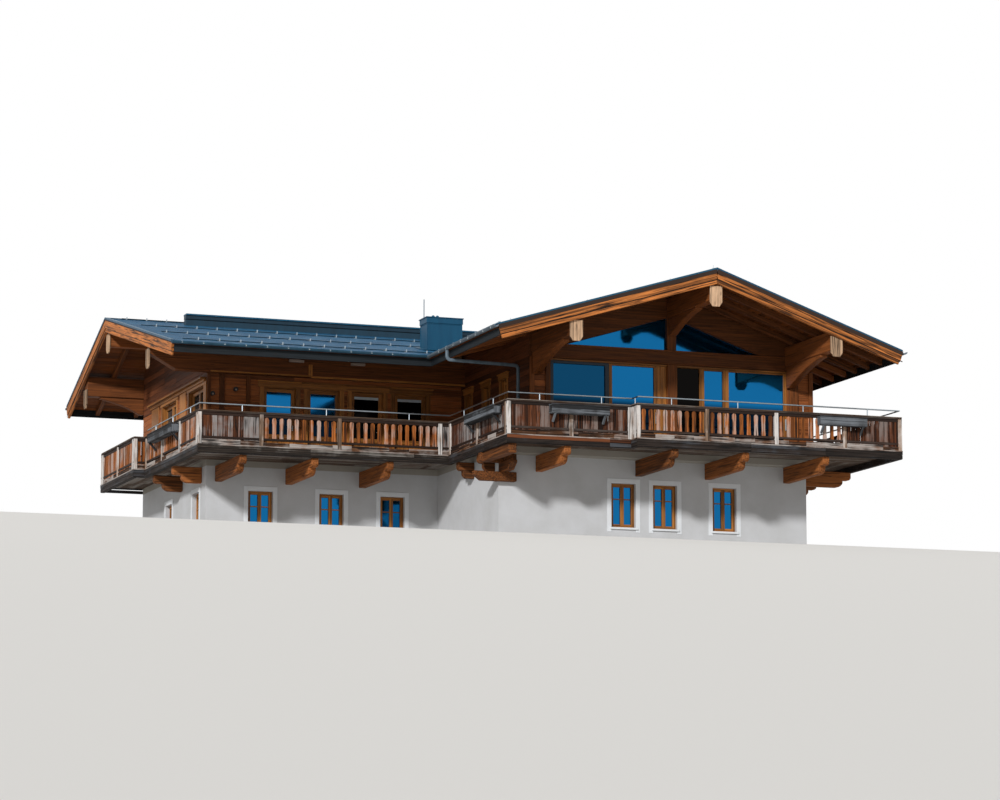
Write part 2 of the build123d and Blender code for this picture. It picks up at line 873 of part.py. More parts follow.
def railing(start, end, posts, open_bays):
    """One railing run, standing on the deck inside the line from start to end."""
    length = hypot(end[0] - start[0], end[1] - start[1])
    along = ((end[0] - start[0]) / length, (end[1] - start[1]) / length, 0)
    out = (along[1], -along[0], 0)
    face = Plane(origin=(start[0], start[1], floor_top), x_dir=along, z_dir=out)
    top = rail_height - handrail_height
    with BuildPart() as run:
        with BuildSketch(face.offset(-(rail_post + baluster_thickness) / 2)):
            with Locations((length / 2, skirting_height / 2)):
                Rectangle(length, skirting_height)
            with Locations((length / 2, lower_rail_level + lower_rail_height / 2)):
                Rectangle(length, lower_rail_height)
            for i in range(len(posts) - 1):
                x0 = posts[i] * length
                x1 = posts[i + 1] * length
                if i in open_bays:
                    count = int((x1 - x0 - rail_post) / (baluster_width + baluster_gap))
                    pitch = (x1 - x0 - rail_post) / count
                    for k in range(count):
                        mid = x0 + rail_post / 2 + pitch * (k + 0.5)
                        low = lower_rail_level + lower_rail_height / 2
                        half_w = baluster_width / 2
                        half_n = baluster_waist / 2
                        span = top - low
                        with BuildLine():
                            Polyline(
                                (mid - half_w, low),
                                (mid + half_w, low),
                                (mid + half_w, low + span * 0.3),
                                (mid + half_n, low + span * 0.5),
                                (mid + half_w, low + span * 0.7),
                                (mid + half_w, top + 1),
                                (mid - half_w, top + 1),
                                (mid - half_w, low + span * 0.7),
                                (mid - half_n, low + span * 0.5),
                                (mid - half_w, low + span * 0.3),
                                close=True,
                            )
                        make_face()
                else:
                    with Locations(((x0 + x1) / 2, (top + 1) / 2)):
                        Rectangle(x1 - x0, top + 1)
        extrude(amount=baluster_thickness)
        with BuildSketch(face.offset(-rail_post)):
            for p in posts:
                with Locations((min(max(p * length, rail_post / 2), length - rail_post / 2), top / 2)):
                    Rectangle(rail_post, top)
        extrude(amount=rail_post)
        with BuildSketch(face.offset(-(rail_post + handrail_width) / 2)):
            with Locations((length / 2, top + handrail_height / 2)):
                Rectangle(length, handrail_height)
        extrude(amount=handrail_width)
    return run.part


rail_inset = (rail_post + handrail_width) / 2
rail_proud = (handrail_width - rail_post) / 2

back_end = railing((x_side, y_back), (x_deck_jog, y_back), [0, 1], [])
gable_rear = railing(
    (x_deck_jog, y_back - rail_inset),
    (x_deck_jog, side_wing_jog_y + rail_inset),
    [0, 0.5, 1],
    [],
)
gable_jog = railing(
    (x_deck_jog, side_wing_jog_y),
    (x_deck_side + rail_inset, side_wing_jog_y),
    [0, 1],
    [],
)
gable_front = railing(
    (x_deck_side, side_wing_jog_y - rail_proud),
    (x_deck_side, y_deck_side + rail_inset),
    [0, 0.33, 0.67, 1],
    [0, 1],
)
with BuildPart() as rail_side_gable:
    add(back_end)
    add(gable_rear)
    add(gable_jog)
    add(gable_front)

side_front = railing(
    (x_deck_side, y_deck_side),
    (x_deck_west + rail_inset, y_deck_side),
    [0, 0.245, 0.55, 0.95, 1],
    [1, 2],
)
with BuildPart() as rail_side_front:
    add(side_front)

west_run = railing(
    (x_deck_west, y_deck_side - rail_proud),
    (x_deck_west, y_deck_front + rail_inset),
    [0, 0.5, 1],
    [],
)
with BuildPart() as rail_west:
    add(west_run)

front_left = railing(
    (x_deck_west, y_deck_front),
    (front_jog_x + rail_inset, y_deck_front),
    [0, 0.5, 0.96],
    [],
)
front_step = railing(
    (front_jog_x, y_deck_front - rail_proud),
    (front_jog_x, y_deck_jog + rail_inset),
    [0, 1],
    [],
)
front_right = railing(
    (front_jog_x, y_deck_jog),
    (x_deck_east, y_deck_jog),
    [0, 0.26, 0.52, 0.78, 1],
    [0, 1, 2],
)
with BuildPart() as rail_front:
    add(front_left)
    add(front_step)
    add(front_right)

east_run = railing(
    (x_deck_east, y_deck_jog + rail_inset),
    (x_deck_east, east_run_end - rail_inset),
    [0, 0.25, 0.5, 0.75, 1],
    [1, 2, 3],
)
east_end = railing((x_deck_east, east_run_end), (x_east, east_run_end), [0, 1], [])
with BuildPart() as rail_east:
    add(east_run)
    add(east_end)

# Consoles under the balcony: a beam and a carved corbel, cut from one profile


def console(root, reach, turn, step):
    """A console with two stepped, rounded corbels, standing out from root."""
    side = Plane(origin=(root[0], root[1], floor_bottom), x_dir=turn, z_dir=(turn[1], -turn[0], 0))
    with BuildPart() as bracket:
        with BuildSketch(side.offset(-console_width / 2)):
            with BuildLine():
                l1 = Line((0, 0), (reach, 0))
                l2 = Line(l1 @ 1, (reach, -console_height * 0.6))
                l3 = ThreePointArc(
                    l2 @ 1,
                    (reach - console_height * 0.12, -console_height * 0.88),
                    (reach - console_height * 0.4, -console_height),
                )
                l4 = Line(l3 @ 1, (reach - step * 0.55, -console_height))
                l5 = Line(l4 @ 1, (reach - step * 0.55, -console_height - corbel_height * 0.4))
                l6 = ThreePointArc(
                    l5 @ 1,
                    (reach - step * 0.7, -console_height - corbel_height * 0.8),
                    (reach - step, -console_height - corbel_height),
                )
                l7 = Line(l6 @ 1, (0, -console_height - corbel_height))
                Line(l7 @ 1, (0, 0))
            make_face()
        extrude(amount=console_width)
    return bracket.part


front_reach = y_ground - y_deck_jog - edge_beam_width
corner_reach = y_ground - y_deck_front - edge_beam_width
side_reach = side_depth - edge_beam_width
west_reach = x_ground - x_deck_west - edge_beam_width
east_reach = east_strip - edge_beam_width
gable_reach = side_wing_strip - edge_beam_width
brackets = []
for x in front_console_xs:
    reach = front_reach if x > front_jog_x else corner_reach
    brackets.append(console((x, y_ground), reach, (0, -1, 0), corbel_step))
for x in side_console_xs:
    brackets.append(console((x, 0), side_reach, (0, -1, 0), corbel_step))
for y in (y_ground + west_console_inset, y_deck_side - west_console_inset):
    brackets.append(console((x_ground, y), west_reach, (-1, 0, 0), short_corbel_step))
for y in east_console_ys:
    brackets.append(console((x_east, y), east_reach, (1, 0, 0), corbel_step))
for y in gable_console_ys:
    brackets.append(console((x_side, y), gable_reach, (-1, 0, 0), corbel_step))
with BuildPart() as consoles:
    add(brackets)

# Crossed timbers at the outer corner, and the timber that they carry along the edge
tier_z = [floor_bottom - stack_height * i for i in range(4)]
with BuildPart() as corner_stack:
    for top, reach, nose in ((tier_z[0], stack_reach - 200, 60), (tier_z[2], stack_reach, 220)):
        with BuildSketch(Plane.XZ.offset(-y_ground)):
            with BuildLine():
                Polyline(
                    (x_ground - reach, top),
                    (x_ground + stack_inner, top),
                    (x_ground + stack_inner, top - stack_height),
                    (x_ground - reach + nose, top - stack_height),
                    (x_ground - reach, top - stack_height + nose * 0.8),
                    close=True,
                )
            make_face()
        extrude(amount=stack_width)
    with BuildSketch(Plane.YZ.offset(x_ground)):
        with BuildLine():
            Polyline(
                (y_ground, tier_z[1]),
                (y_ground - stack_nose, tier_z[1]),
                (y_ground - stack_nose, tier_z[1] - stack_height * 0.3),
                (y_ground - stack_nose + stack_height, tier_z[2]),
                (y_ground, tier_z[2]),
                close=True,
            )
        make_face()
    extrude(amount=stack_width)
    with BuildSketch(Plane.XY.offset(tier_z[1])):
        with Locations((x_deck_west + edge_timber_inset + edge_timber_width / 2, 0)):
            with Locations((0, (y_deck_front + edge_beam_width + y_ground - stack_width) / 2)):
                Rectangle(edge_timber_width, y_ground - stack_width - y_deck_front - edge_beam_width)
    extrude(amount=stack_height)

# Purlin end boards with cut lower corners
hw = end_board_width / 2
cut = end_board_chamfer
end_board = make_face(
    Polyline(
        (-hw, end_board_height),
        (hw, end_board_height),
        (hw, cut * 1.5),
        (hw - cut, 0),
        (cut - hw, 0),
        (-hw, cut * 1.5),
        close=True,
    )
)
with BuildPart() as purlin_end_boards:
    with BuildSketch(Plane.XZ.offset(-y_purlin)):
        with Locations(
            (xr, ridge_height - ridge_purlin_drop - end_board_hang),
            (west_purlin_x, purlin_bottom - end_board_hang),
            (east_purlin_x, purlin_bottom - end_board_hang),
        ):
            add(end_board)
    extrude(amount=end_board_thickness)
    with BuildSketch(Plane.YZ.offset(x_purlin)):
        with Locations(
            (yr, ridge_height - ridge_purlin_drop - end_board_hang),
            (-purlin_setback, side_purlin_bottom),
            (y_back + purlin_setback, back_purlin_bottom - 2 * end_board_hang),
        ):
            add(end_board)
    extrude(amount=-end_board_thickness)

# Carved corbel timbers below the purlins
ridge_under = ridge_height - ridge_purlin_drop
corbels = [
    ((xr, y_front, ridge_under), (0, -1, 0), ridge_corbel_reach, ridge_corbel_depth),
    ((west_purlin_x, y_front, purlin_bottom), (0, -1, 0), eave_corbel_reach, eave_corbel_depth),
    ((east_purlin_x, y_front, purlin_bottom), (0, -1, 0), eave_corbel_reach, eave_corbel_depth),
    ((x_side, y_back + purlin_setback, back_purlin_bottom), (-1, 0, 0), back_corbel_reach, back_corbel_depth),
]
with BuildPart() as corbel_timbers:
    for root, turn, reach, depth in corbels:
        side = Plane(origin=root, x_dir=turn, z_dir=(turn[1], -turn[0], 0))
        with BuildSketch(side.offset(-corbel_timber_width / 2)):
            with BuildLine():
                c1 = Line((0, 0), (reach, 0))
                c2 = Line(c1 @ 1, (reach, -depth * 0.12))
                c3 = ThreePointArc(c2 @ 1, (reach * 0.55, -depth * 0.42), (reach * 0.08, -depth))
                c4 = Line(c3 @ 1, (0, -depth))
                Line(c4 @ 1, (0, 0))
            make_face()
        extrude(amount=corbel_timber_width)

# Rafters of the overhangs and rafter tails along the eaves
front_rafter_ys = [yf + verge_thickness + rafter_first + rafter_gap * i for i in range(4)]
gable_rafter_xs = [(xl + x_side) / 2]
west_tail_ys = [y_front + rafter_first + rafter_gap * i for i in range(3)]
hip_x = xr + (y_back - yr) * (xb - xr) / (yd - yr)
hip_y = yr + (x_east - xr) * (yd - yr) / (xb - xr)
east_tails = int((hip_y - rafter_width - y_front - rafter_first) / rafter_gap) + 1
back_tails = int((hip_x - rafter_width - x_side - rafter_first) / rafter_gap) + 1
east_tail_ys = [y_front + rafter_first + rafter_gap * i for i in range(east_tails)]
front_tail_xs = [x_side + rafter_first + rafter_gap * i for i in range(6)]
back_tail_xs = [x_side + rafter_first + rafter_gap * i for i in range(back_tails)]
x_tail = xa + eave_board
x_tail_east = xb - eave_board
y_tail = yc + eave_board
y_tail_back = yd - eave_board
with BuildPart() as rafters_front_wing:
    for x0, x1, ys in (
        (x_tail, xr - ridge_joint, front_rafter_ys),
        (x_tail_east, xr + ridge_joint, front_rafter_ys),
        (x_tail, 0, west_tail_ys),
        (x_tail_east, x_east, east_tail_ys),
    ):
        for y in ys:
            with BuildSketch(Plane.XZ.offset(-(y - rafter_width / 2))):
                with BuildLine():
                    Polyline(
                        (x0, roof_x(x0) - board_thickness),
                        (x1, roof_x(x1) - board_thickness),
                        (x1, roof_x(x1) - stack),
                        (x0, roof_x(x0) - stack),
                        close=True,
                    )
                make_face()
            extrude(amount=-rafter_width)

with BuildPart() as rafters_side_wing:
    for y0, y1, xs in (
        (y_tail, yr - ridge_joint, gable_rafter_xs),
        (y_tail_back, yr + ridge_joint, gable_rafter_xs),
        (y_tail, 0, front_tail_xs),
        (y_tail_back, y_back, back_tail_xs),
    ):
        for x in xs:
            with BuildSketch(Plane.YZ.offset(x - rafter_width / 2)):
                with BuildLine():
                    Polyline(
                        (y0, roof_y(y0) - board_thickness),
                        (y1, roof_y(y1) - board_thickness),
                        (y1, roof_y(y1) - stack),
                        (y0, roof_y(y0) - stack),
                        close=True,
                    )
                make_face()
            extrude(amount=rafter_width)

# Eave boards that close the rafter ends
with BuildPart() as eave_boards_front_wing:
    with BuildSketch(Plane.XZ.offset(-(yf + verge_thickness))):
        with BuildLine():
            Polyline(
                (xa, roof_x(xa) - board_thickness),
                (x_tail, roof_x(x_tail) - board_thickness),
                (x_tail, roof_x(xa) - eave_board_height),
                (xa, roof_x(xa) - eave_board_height),
                close=True,
            )
        make_face()
    extrude(amount=-(yc - yf - verge_thickness))
    with BuildSketch(Plane.XZ.offset(-(yf + verge_thickness))):
        with BuildLine():
            Polyline(
                (xb, roof_x(xb) - board_thickness),
                (x_tail_east, roof_x(x_tail_east) - board_thickness),
                (x_tail_east, roof_x(xb) - eave_board_height),
                (xb, roof_x(xb) - eave_board_height),
                close=True,
            )
        make_face()
    extrude(amount=-(yd - eave_board - yf - verge_thickness))

with BuildPart() as eave_boards_side_wing:
    with BuildSketch(Plane.YZ.offset(xl + verge_thickness)):
        with BuildLine():
            Polyline(
                (yc, roof_y(yc) - board_thickness),
                (y_tail, roof_y(y_tail) - board_thickness),
                (y_tail, roof_y(yc) - eave_board_height),
                (yc, roof_y(yc) - eave_board_height),
                close=True,
            )
        make_face()
    extrude(amount=xa - xl - verge_thickness)
    with BuildSketch(Plane.YZ.offset(xl + verge_thickness)):
        with BuildLine():
            Polyline(
                (yd, roof_y(yd) - board_thickness),
                (y_tail_back, roof_y(y_tail_back) - board_thickness),
                (y_tail_back, roof_y(yd) - eave_board_height),
                (yd, roof_y(yd) - eave_board_height),
                close=True,
            )
        make_face()
    extrude(amount=xb - 2 * eave_board - xl - verge_thickness)

# Half-round gutters along the eaves
gutter_out = gutter_width / 2
gutter_in = gutter_out - gutter_wall
west_gutter = (ma - gutter_out, mf, roof_x(ma) + gutter_lift)
east_gutter = (mb + gutter_out, mf, roof_x(mb) + gutter_lift)
front_gutter = (ml, mc - gutter_out, roof_y(mc) + gutter_lift)
back_gutter = (ml, md + gutter_out, roof_y(md) + gutter_lift)
gutter_lines = [
    (Plane(origin=west_gutter, x_dir=(1, 0, 0), z_dir=(0, -1, 0)), mf - mc),
    (Plane(origin=east_gutter, x_dir=(1, 0, 0), z_dir=(0, -1, 0)), mf - md),
]
side_gutter_lines = [
    (Plane(origin=front_gutter, x_dir=(0, 1, 0), z_dir=(1, 0, 0)), ma - gutter_width - ml),
    (Plane(origin=back_gutter, x_dir=(0, 1, 0), z_dir=(1, 0, 0)), mb - ml),
]
with BuildPart() as gutters_front_wing:
    for run, length in gutter_lines:
        with BuildSketch(run):
            with BuildLine():
                g1 = Line((-gutter_out, 0), (-gutter_in, 0))
                g2 = ThreePointArc(g1 @ 1, (0, -gutter_height + gutter_wall), (gutter_in, 0))
                g3 = Line(g2 @ 1, (gutter_out, 0))
                ThreePointArc(g3 @ 1, (0, -gutter_height), (-gutter_out, 0))
            make_face()
        extrude(amount=length)
with BuildPart() as gutters_side_wing:
    for run, length in side_gutter_lines:
        with BuildSketch(run):
            with BuildLine():
                g1 = Line((-gutter_out, 0), (-gutter_in, 0))
                g2 = ThreePointArc(g1 @ 1, (0, -gutter_height + gutter_wall), (gutter_in, 0))
                g3 = Line(g2 @ 1, (gutter_out, 0))
                ThreePointArc(g3 @ 1, (0, -gutter_height), (-gutter_out, 0))
            make_face()
        extrude(amount=length)

# Downpipe from the west gutter to the wall and down to the deck
pipe_top = roof_x(ma) + gutter_lift - gutter_height
downpipe_y = y_front + downpipe_inset
with BuildPart() as downpipe:
    with BuildLine() as pipe_path:
        FilletPolyline(
            (west_gutter[0], downpipe_y, pipe_top),
            (west_gutter[0], downpipe_y, pipe_top - downpipe_drop),
            (-downpipe_radius, downpipe_y, pipe_top - downpipe_drop - downpipe_radius),
            (-downpipe_radius, downpipe_y, floor_top),
            radius=downpipe_bend,
        )
    with BuildSketch(Plane(origin=pipe_path.line @ 0, z_dir=(0, 0, -1))):
        RegularPolygon(downpipe_radius, 10)
    sweep()

# Flower boxes on struts, on the outside of the rails
box_runs = [
    ((front_box_x, y_deck_front), (0, -1, 0), front_box_length),
    ((x_deck_east - east_box_inset, y_deck_jog), (0, -1, 0), east_box_length),
    ((x_deck_west, y_deck_front + west_box_inset), (-1, 0, 0), west_box_length),
    ((x_deck_side, gable_box_y), (-1, 0, 0), gable_box_length),
]
with BuildPart() as flower_boxes:
    for root, turn, length in box_runs:
        side = Plane(origin=(root[0], root[1], box_level), x_dir=turn, z_dir=(turn[1], -turn[0], 0))
        with BuildSketch(side.offset(-length / 2)):
            with Locations((box_depth / 2, 0)):
                Rectangle(box_depth, box_height)
        extrude(amount=length)
        with BuildSketch(side.offset(box_wall - length / 2)):
            with Locations((box_depth / 2, box_wall)):
                Rectangle(box_depth - 2 * box_wall, box_height)
        extrude(amount=length - 2 * box_wall, mode=Mode.SUBTRACT)
        for k in (-0.35, 0.35):
            with BuildSketch(side.offset(k * length - box_strut / 2)):
                with BuildLine():
                    Polyline(
                        (0, -box_height / 2),
                        (box_depth, -box_height / 2),
                        (0, -box_height / 2 - box_strut_drop),
                        close=True,
                    )
                make_face()
            extrude(amount=box_strut)

# Pipe rail on stanchions above the hand rail
pipe_z = floor_top + rail_height + pipe_lift
pipe_line = [
    (x_deck_side + rail_post / 2, side_wing_jog_y - rail_post, pipe_z),
    (x_deck_side + rail_post / 2, y_deck_side + rail_post / 2, pipe_z),
    (x_deck_west + rail_post / 2, y_deck_side + rail_post / 2, pipe_z),
    (x_deck_west + rail_post / 2, y_deck_front + rail_post / 2, pipe_z),
    (front_jog_x + rail_post / 2, y_deck_front + rail_post / 2, pipe_z),
    (front_jog_x + rail_post / 2, y_deck_jog + rail_post / 2, pipe_z),
    (x_deck_east - rail_post / 2, y_deck_jog + rail_post / 2, pipe_z),
    (x_deck_east - rail_post / 2, east_run_end - rail_post / 2, pipe_z),
]
stanchions = []
for a, b in zip(pipe_line, pipe_line[1:]):
    count = max(1, round(hypot(b[0] - a[0], b[1] - a[1]) / stanchion_gap))
    for k in range(count):
        t = (k + 0.5) / count
        stanchions.append((a[0] + (b[0] - a[0]) * t, a[1] + (b[1] - a[1]) * t))
with BuildPart() as pipe_rail:
    with BuildLine():
        Polyline(*pipe_line)
    with BuildSketch(Plane(origin=pipe_line[0], z_dir=(0, -1, 0))):
        RegularPolygon(pipe_radius, 8)
    sweep(transition=Transition.RIGHT)
    with BuildSketch(Plane.XY.offset(floor_top + rail_height)):
        with Locations(*stanchions):
            RegularPolygon(pipe_radius * 0.8, 8)
    extrude(amount=pipe_lift)

pieces = {
    "ground_floor": ground_floor,
    "ground_wall_front": ground_wall_front,
    "ground_wall_west": ground_wall_west,
    "ground_wall_side_front": ground_wall_side_front,
    "ground_wall_side_gable": ground_wall_side_gable,
    "ground_wall_back": ground_wall_back,
    "ground_wall_east": ground_wall_east,
    "ground_windows": ground_windows,
    "upper_floor": upper_floor,
    "west_wall": west_wall,
    "east_wall": east_wall,
    "side_front_wall": side_front_wall,
    "back_wall": back_wall,
    "side_gable_wall": side_gable_wall,
    "facade_posts": facade_posts,
    "tie_beam": tie_beam,
    "gable_plates": gable_plates,
    "gable_glass": gable_glass,
    "sliding_frames": sliding_frames,
    "sliding_glass": sliding_glass,
    "upper_frames": upper_frames,
    "upper_glass": upper_glass,
    "boards_west": boards_west,
    "boards_east": boards_east,
    "boards_side_front": boards_side_front,
    "boards_back": boards_back,
    "metal_west": metal_west,
    "metal_east": metal_east,
    "metal_side_front": metal_side_front,
    "metal_back": metal_back,
    "ridge_purlin": ridge_purlin,
    "side_ridge_purlin": side_ridge_purlin,
    "eave_purlins": eave_purlins,
    "bargeboards": bargeboards,
    "purlin_end_boards": purlin_end_boards,
    "corbel_timbers": corbel_timbers,
    "rafters_front_wing": rafters_front_wing,
    "rafters_side_wing": rafters_side_wing,
    "eave_boards_front_wing": eave_boards_front_wing,
    "eave_boards_side_wing": eave_boards_side_wing,
    "gutters_front_wing": gutters_front_wing,
    "gutters_side_wing": gutters_side_wing,
    "downpipe": downpipe,
    "chimney": chimney,
    "roof_upstand": roof_upstand,
    "balcony_deck": balcony_deck,
    "edge_beams": edge_beams,
    "consoles": consoles,
    "corner_stack": corner_stack,
    "rail_side_gable": rail_side_gable,
    "rail_side_front": rail_side_front,
    "rail_west": rail_west,
    "rail_front": rail_front,
    "rail_east": rail_east,
    "flower_boxes": flower_boxes,
    "pipe_rail": pipe_rail,
}
for name, piece in pieces.items():
    piece.part.label = name
    export_step(piece.part, f"parts/{name}.step")
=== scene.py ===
import math
import random

import bpy
import numpy as np
from mathutils import Matrix, Vector


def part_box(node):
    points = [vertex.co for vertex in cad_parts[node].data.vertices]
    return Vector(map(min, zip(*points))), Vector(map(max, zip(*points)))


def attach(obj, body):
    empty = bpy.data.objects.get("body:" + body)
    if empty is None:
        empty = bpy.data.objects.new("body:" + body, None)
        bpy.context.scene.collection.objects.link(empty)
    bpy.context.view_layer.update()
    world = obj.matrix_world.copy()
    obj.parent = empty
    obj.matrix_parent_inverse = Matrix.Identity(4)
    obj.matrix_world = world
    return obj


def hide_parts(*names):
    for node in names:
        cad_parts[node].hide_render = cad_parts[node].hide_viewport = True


bl_info = {
    "name": "Alpine chalet",
    "version": (1, 0, 0),
    "blender": (4, 5, 0),
    "location": "3D View > Sidebar > Chalet",
    "description": "Boards, shingles, frames and finishes of a two-winged alpine chalet",
    "category": "Object",
}

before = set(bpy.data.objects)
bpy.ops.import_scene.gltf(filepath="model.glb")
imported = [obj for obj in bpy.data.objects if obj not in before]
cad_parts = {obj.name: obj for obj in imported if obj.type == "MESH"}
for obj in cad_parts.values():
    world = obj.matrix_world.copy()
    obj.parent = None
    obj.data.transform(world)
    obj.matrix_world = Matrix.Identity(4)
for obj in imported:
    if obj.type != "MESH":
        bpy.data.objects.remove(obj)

# Lines of the house in metres, read from the frame
UP = Vector((0, 0, 1))
WAY = np.array((1, 0.83, 0.61))
SHEATHING = 0.05
COVERING = 0.08
XA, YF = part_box("boards_west")[0].xy
XR, YR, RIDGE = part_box("boards_west")[1]
XB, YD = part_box("boards_east")[1].xy
XL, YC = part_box("boards_side_front")[0].xy
EAVE_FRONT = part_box("boards_west")[0].z + SHEATHING
EAVE_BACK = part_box("boards_east")[0].z + SHEATHING
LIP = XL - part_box("metal_side_front")[0].x
X_SIDE, Y_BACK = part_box("side_gable_wall")[0].x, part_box("back_wall")[1].y
X_EAST, Y_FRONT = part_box("tie_beam")[1].x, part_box("tie_beam")[0].y
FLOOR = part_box("upper_floor")[1].z
X_GROUND, Y_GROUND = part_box("ground_wall_front")[0].xy
BEAM_LOW, BEAM_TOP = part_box("tie_beam")[0].z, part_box("tie_beam")[1].z
SLOPE_WEST = (RIDGE - EAVE_FRONT) / (XR - XA)
SLOPE_EAST = (RIDGE - EAVE_BACK) / (XB - XR)
SLOPE_FRONT = (RIDGE - EAVE_FRONT) / (YR - YC)
SLOPE_BACK = (RIDGE - EAVE_BACK) / (YD - YR)

# Walls as a corner, the direction along them and the direction out of them
SIDE_FRONT = (Vector((X_SIDE, 0, 0)), Vector((1, 0, 0)), Vector((0, -1, 0)))
SIDE_GABLE = (Vector((X_SIDE, Y_BACK, 0)), Vector((0, -1, 0)), Vector((-1, 0, 0)))
WEST = (Vector((0, 0, 0)), Vector((0, -1, 0)), Vector((-1, 0, 0)))
EAST = (Vector((X_EAST, Y_FRONT, 0)), Vector((0, 1, 0)), Vector((1, 0, 0)))
BACK = (Vector((X_EAST, Y_BACK, 0)), Vector((-1, 0, 0)), Vector((0, 1, 0)))
FACADE = (Vector((0, Y_FRONT, 0)), Vector((1, 0, 0)), Vector((0, -1, 0)))
LOWER_FRONT = (Vector((0, Y_GROUND, 0)), Vector((1, 0, 0)), Vector((0, -1, 0)))

# Openings of both storeys: wall, middle along it, width, foot and head
DOOR, SILL, HEAD = 1.08, FLOOR + 0.65, FLOOR + 2.3
WINDOW = (0.8, 1.08, 2.43)
EAST_BAYS, GABLE_BAYS, BACK_BAYS = (-3.6, -0.4, 2.8, 6.0), (1.2, 4.5), (-6.3, -3.7, -1.1, 1.7, 4.5, 7.3)
UPPER_OPENINGS = (
    [(SIDE_FRONT, x - X_SIDE, DOOR, FLOOR, HEAD) for x in (-6.01, -4.58, -3.15, -1.72)]
    + [(SIDE_GABLE, Y_BACK - y, 1.8, FLOOR, HEAD) for y in GABLE_BAYS]
    + [(WEST, -y, 0.6, SILL, HEAD) for y in (-0.75, -2.35, -3.95)]
    + [(EAST, y - Y_FRONT, DOOR, FLOOR, HEAD) for y in EAST_BAYS]
    + [(BACK, X_EAST - x, DOOR, SILL, HEAD) for x in BACK_BAYS]
)
GROUND_OPENINGS = (
    [(LOWER_FRONT, x, *WINDOW) for x in (3.25, 4.62, 6.6)]
    + [(SIDE_FRONT, x - X_SIDE, *WINDOW) for x in (-6.6, -4.3, -2.3)]
    + [(EAST, y - Y_FRONT, *WINDOW) for y in EAST_BAYS]
    + [(SIDE_GABLE, Y_BACK - y, *WINDOW) for y in GABLE_BAYS]
    + [(BACK, X_EAST - x, *WINDOW) for x in BACK_BAYS]
)

# Outline of the balcony
DECK_SIDE, DECK_JOG, DECK_JOG_Y = X_SIDE - 1.07, X_SIDE - 1.43, 3.5
DECK_LOW_Y, DECK_WEST, DECK_FRONT = -2.95, -1.46, Y_FRONT - 2.02
DECK_STEP, DECK_STEP_X, DECK_EAST = Y_FRONT - 2.48, 2.47, X_EAST + 1.83
RAIL_INSET, RAIL_PROUD = 0.135, 0.015
# Height of the rod on the chimney, and shingle courses from one row of snow bars to the next
CHIMNEY_ROD, ROWS = 0.63, 6
SLOPES = ("west", "east", "side_front", "back")
# Sockets of a Mix node that blends colours: first, second and result
MIX_A, MIX_B, MIXED = 6, 7, 2


def linear(code):
    """Linear colour of an sRGB hex code."""
    parts = [int(code[i : i + 2], 16) / 255 for i in (1, 3, 5)]
    return tuple(c / 12.92 if c <= 0.04045 else ((c + 0.055) / 1.055) ** 2.4 for c in parts)


def rgba(colour, share=1):
    """A hex code or a colour of the settings with alpha 1, at a share of its strength."""
    return (*(c * share for c in (linear(colour) if isinstance(colour, str) else colour)), 1)


def roof_x(x):
    """Height of the roof line of the front wing at x."""
    return RIDGE - (SLOPE_WEST * (XR - x) if x < XR else SLOPE_EAST * (x - XR))


def roof_y(y):
    """Height of the roof line of the side wing at y."""
    return RIDGE - (SLOPE_FRONT * (YR - y) if y < YR else SLOPE_BACK * (y - YR))


def alone(piece):
    """Selects one piece alone and makes it active."""
    bpy.ops.object.select_all(action="DESELECT")
    piece.select_set(True)
    bpy.context.view_layer.objects.active = piece


def block():
    """A block one metre each way about its own middle, the start of every board and beam."""
    bpy.ops.object.select_all(action="DESELECT")
    bpy.ops.mesh.primitive_cube_add(size=1)
    return bpy.context.object


def unite(pieces):
    """Joins the pieces into the first one."""
    if len(pieces) > 1:
        bpy.ops.object.select_all(action="DESELECT")
        for piece in pieces:
            piece.select_set(True)
        bpy.context.view_layer.objects.active = pieces[0]
        bpy.ops.object.join()
    return pieces[0]


def ease(piece, width):
    """Takes the sharp edges off by a narrow flat."""
    alone(piece)
    made = piece.modifiers.new("eased edges", "BEVEL")
    made.width = width
    made.segments = 1
    made.limit_method = "ANGLE"
    made.angle_limit = math.radians(28)
    made.use_clamp_overlap = False
    bpy.ops.object.modifier_apply(modifier=made.name)
    return piece


def open_up(piece):
    """Opens one piece for editing with all of it selected."""
    alone(piece)
    bpy.ops.object.mode_set(mode="EDIT")
    bpy.ops.mesh.select_all(action="SELECT")


def shut():
    """Ends the editing of a piece."""
    bpy.ops.object.mode_set(mode="OBJECT")


def pick(piece, kind, test):
    """Opens one piece for editing with only the faces or edges that pass the test selected."""
    open_up(piece)
    bpy.ops.mesh.select_mode(type=kind)
    bpy.ops.mesh.select_all(action="DESELECT")
    shut()
    for item in piece.data.polygons if kind == "FACE" else piece.data.edges:
        item.select = test(item)
    bpy.ops.object.mode_set(mode="EDIT")


def lay(places, edge=0.004, master=None):
    """Copies a master, a block unless one is given, to each place and joins the copies."""
    master = master or block()
    copies = []
    for place in places:
        mesh = master.data.copy()
        mesh.transform(place)
        copy = bpy.data.objects.new("copy", mesh)
        bpy.context.scene.collection.objects.link(copy)
        copies.append(copy)
    bpy.data.objects.remove(master)
    piece = unite(copies)
    return ease(piece, edge) if edge else piece


def slab(wall, s0, s1, z0, z1, d0, d1):
    """Place of a block on a wall: from s0 to s1 along it, z0 to z1 up and d0 to d1 out of it."""
    origin, along, out = wall
    middle = origin + along * (s0 + s1) / 2 + out * (d0 + d1) / 2 + UP * (z0 + z1) / 2
    side = UP.cross(along) * (d1 - d0)
    return Matrix([(*(along * (s1 - s0)), 0), (*side, 0), (0, 0, z1 - z0, 0), (*middle, 1)]).transposed()


def slabs(wall, *spans):
    """Places of several blocks on one wall."""
    return [slab(wall, *span) for span in spans]


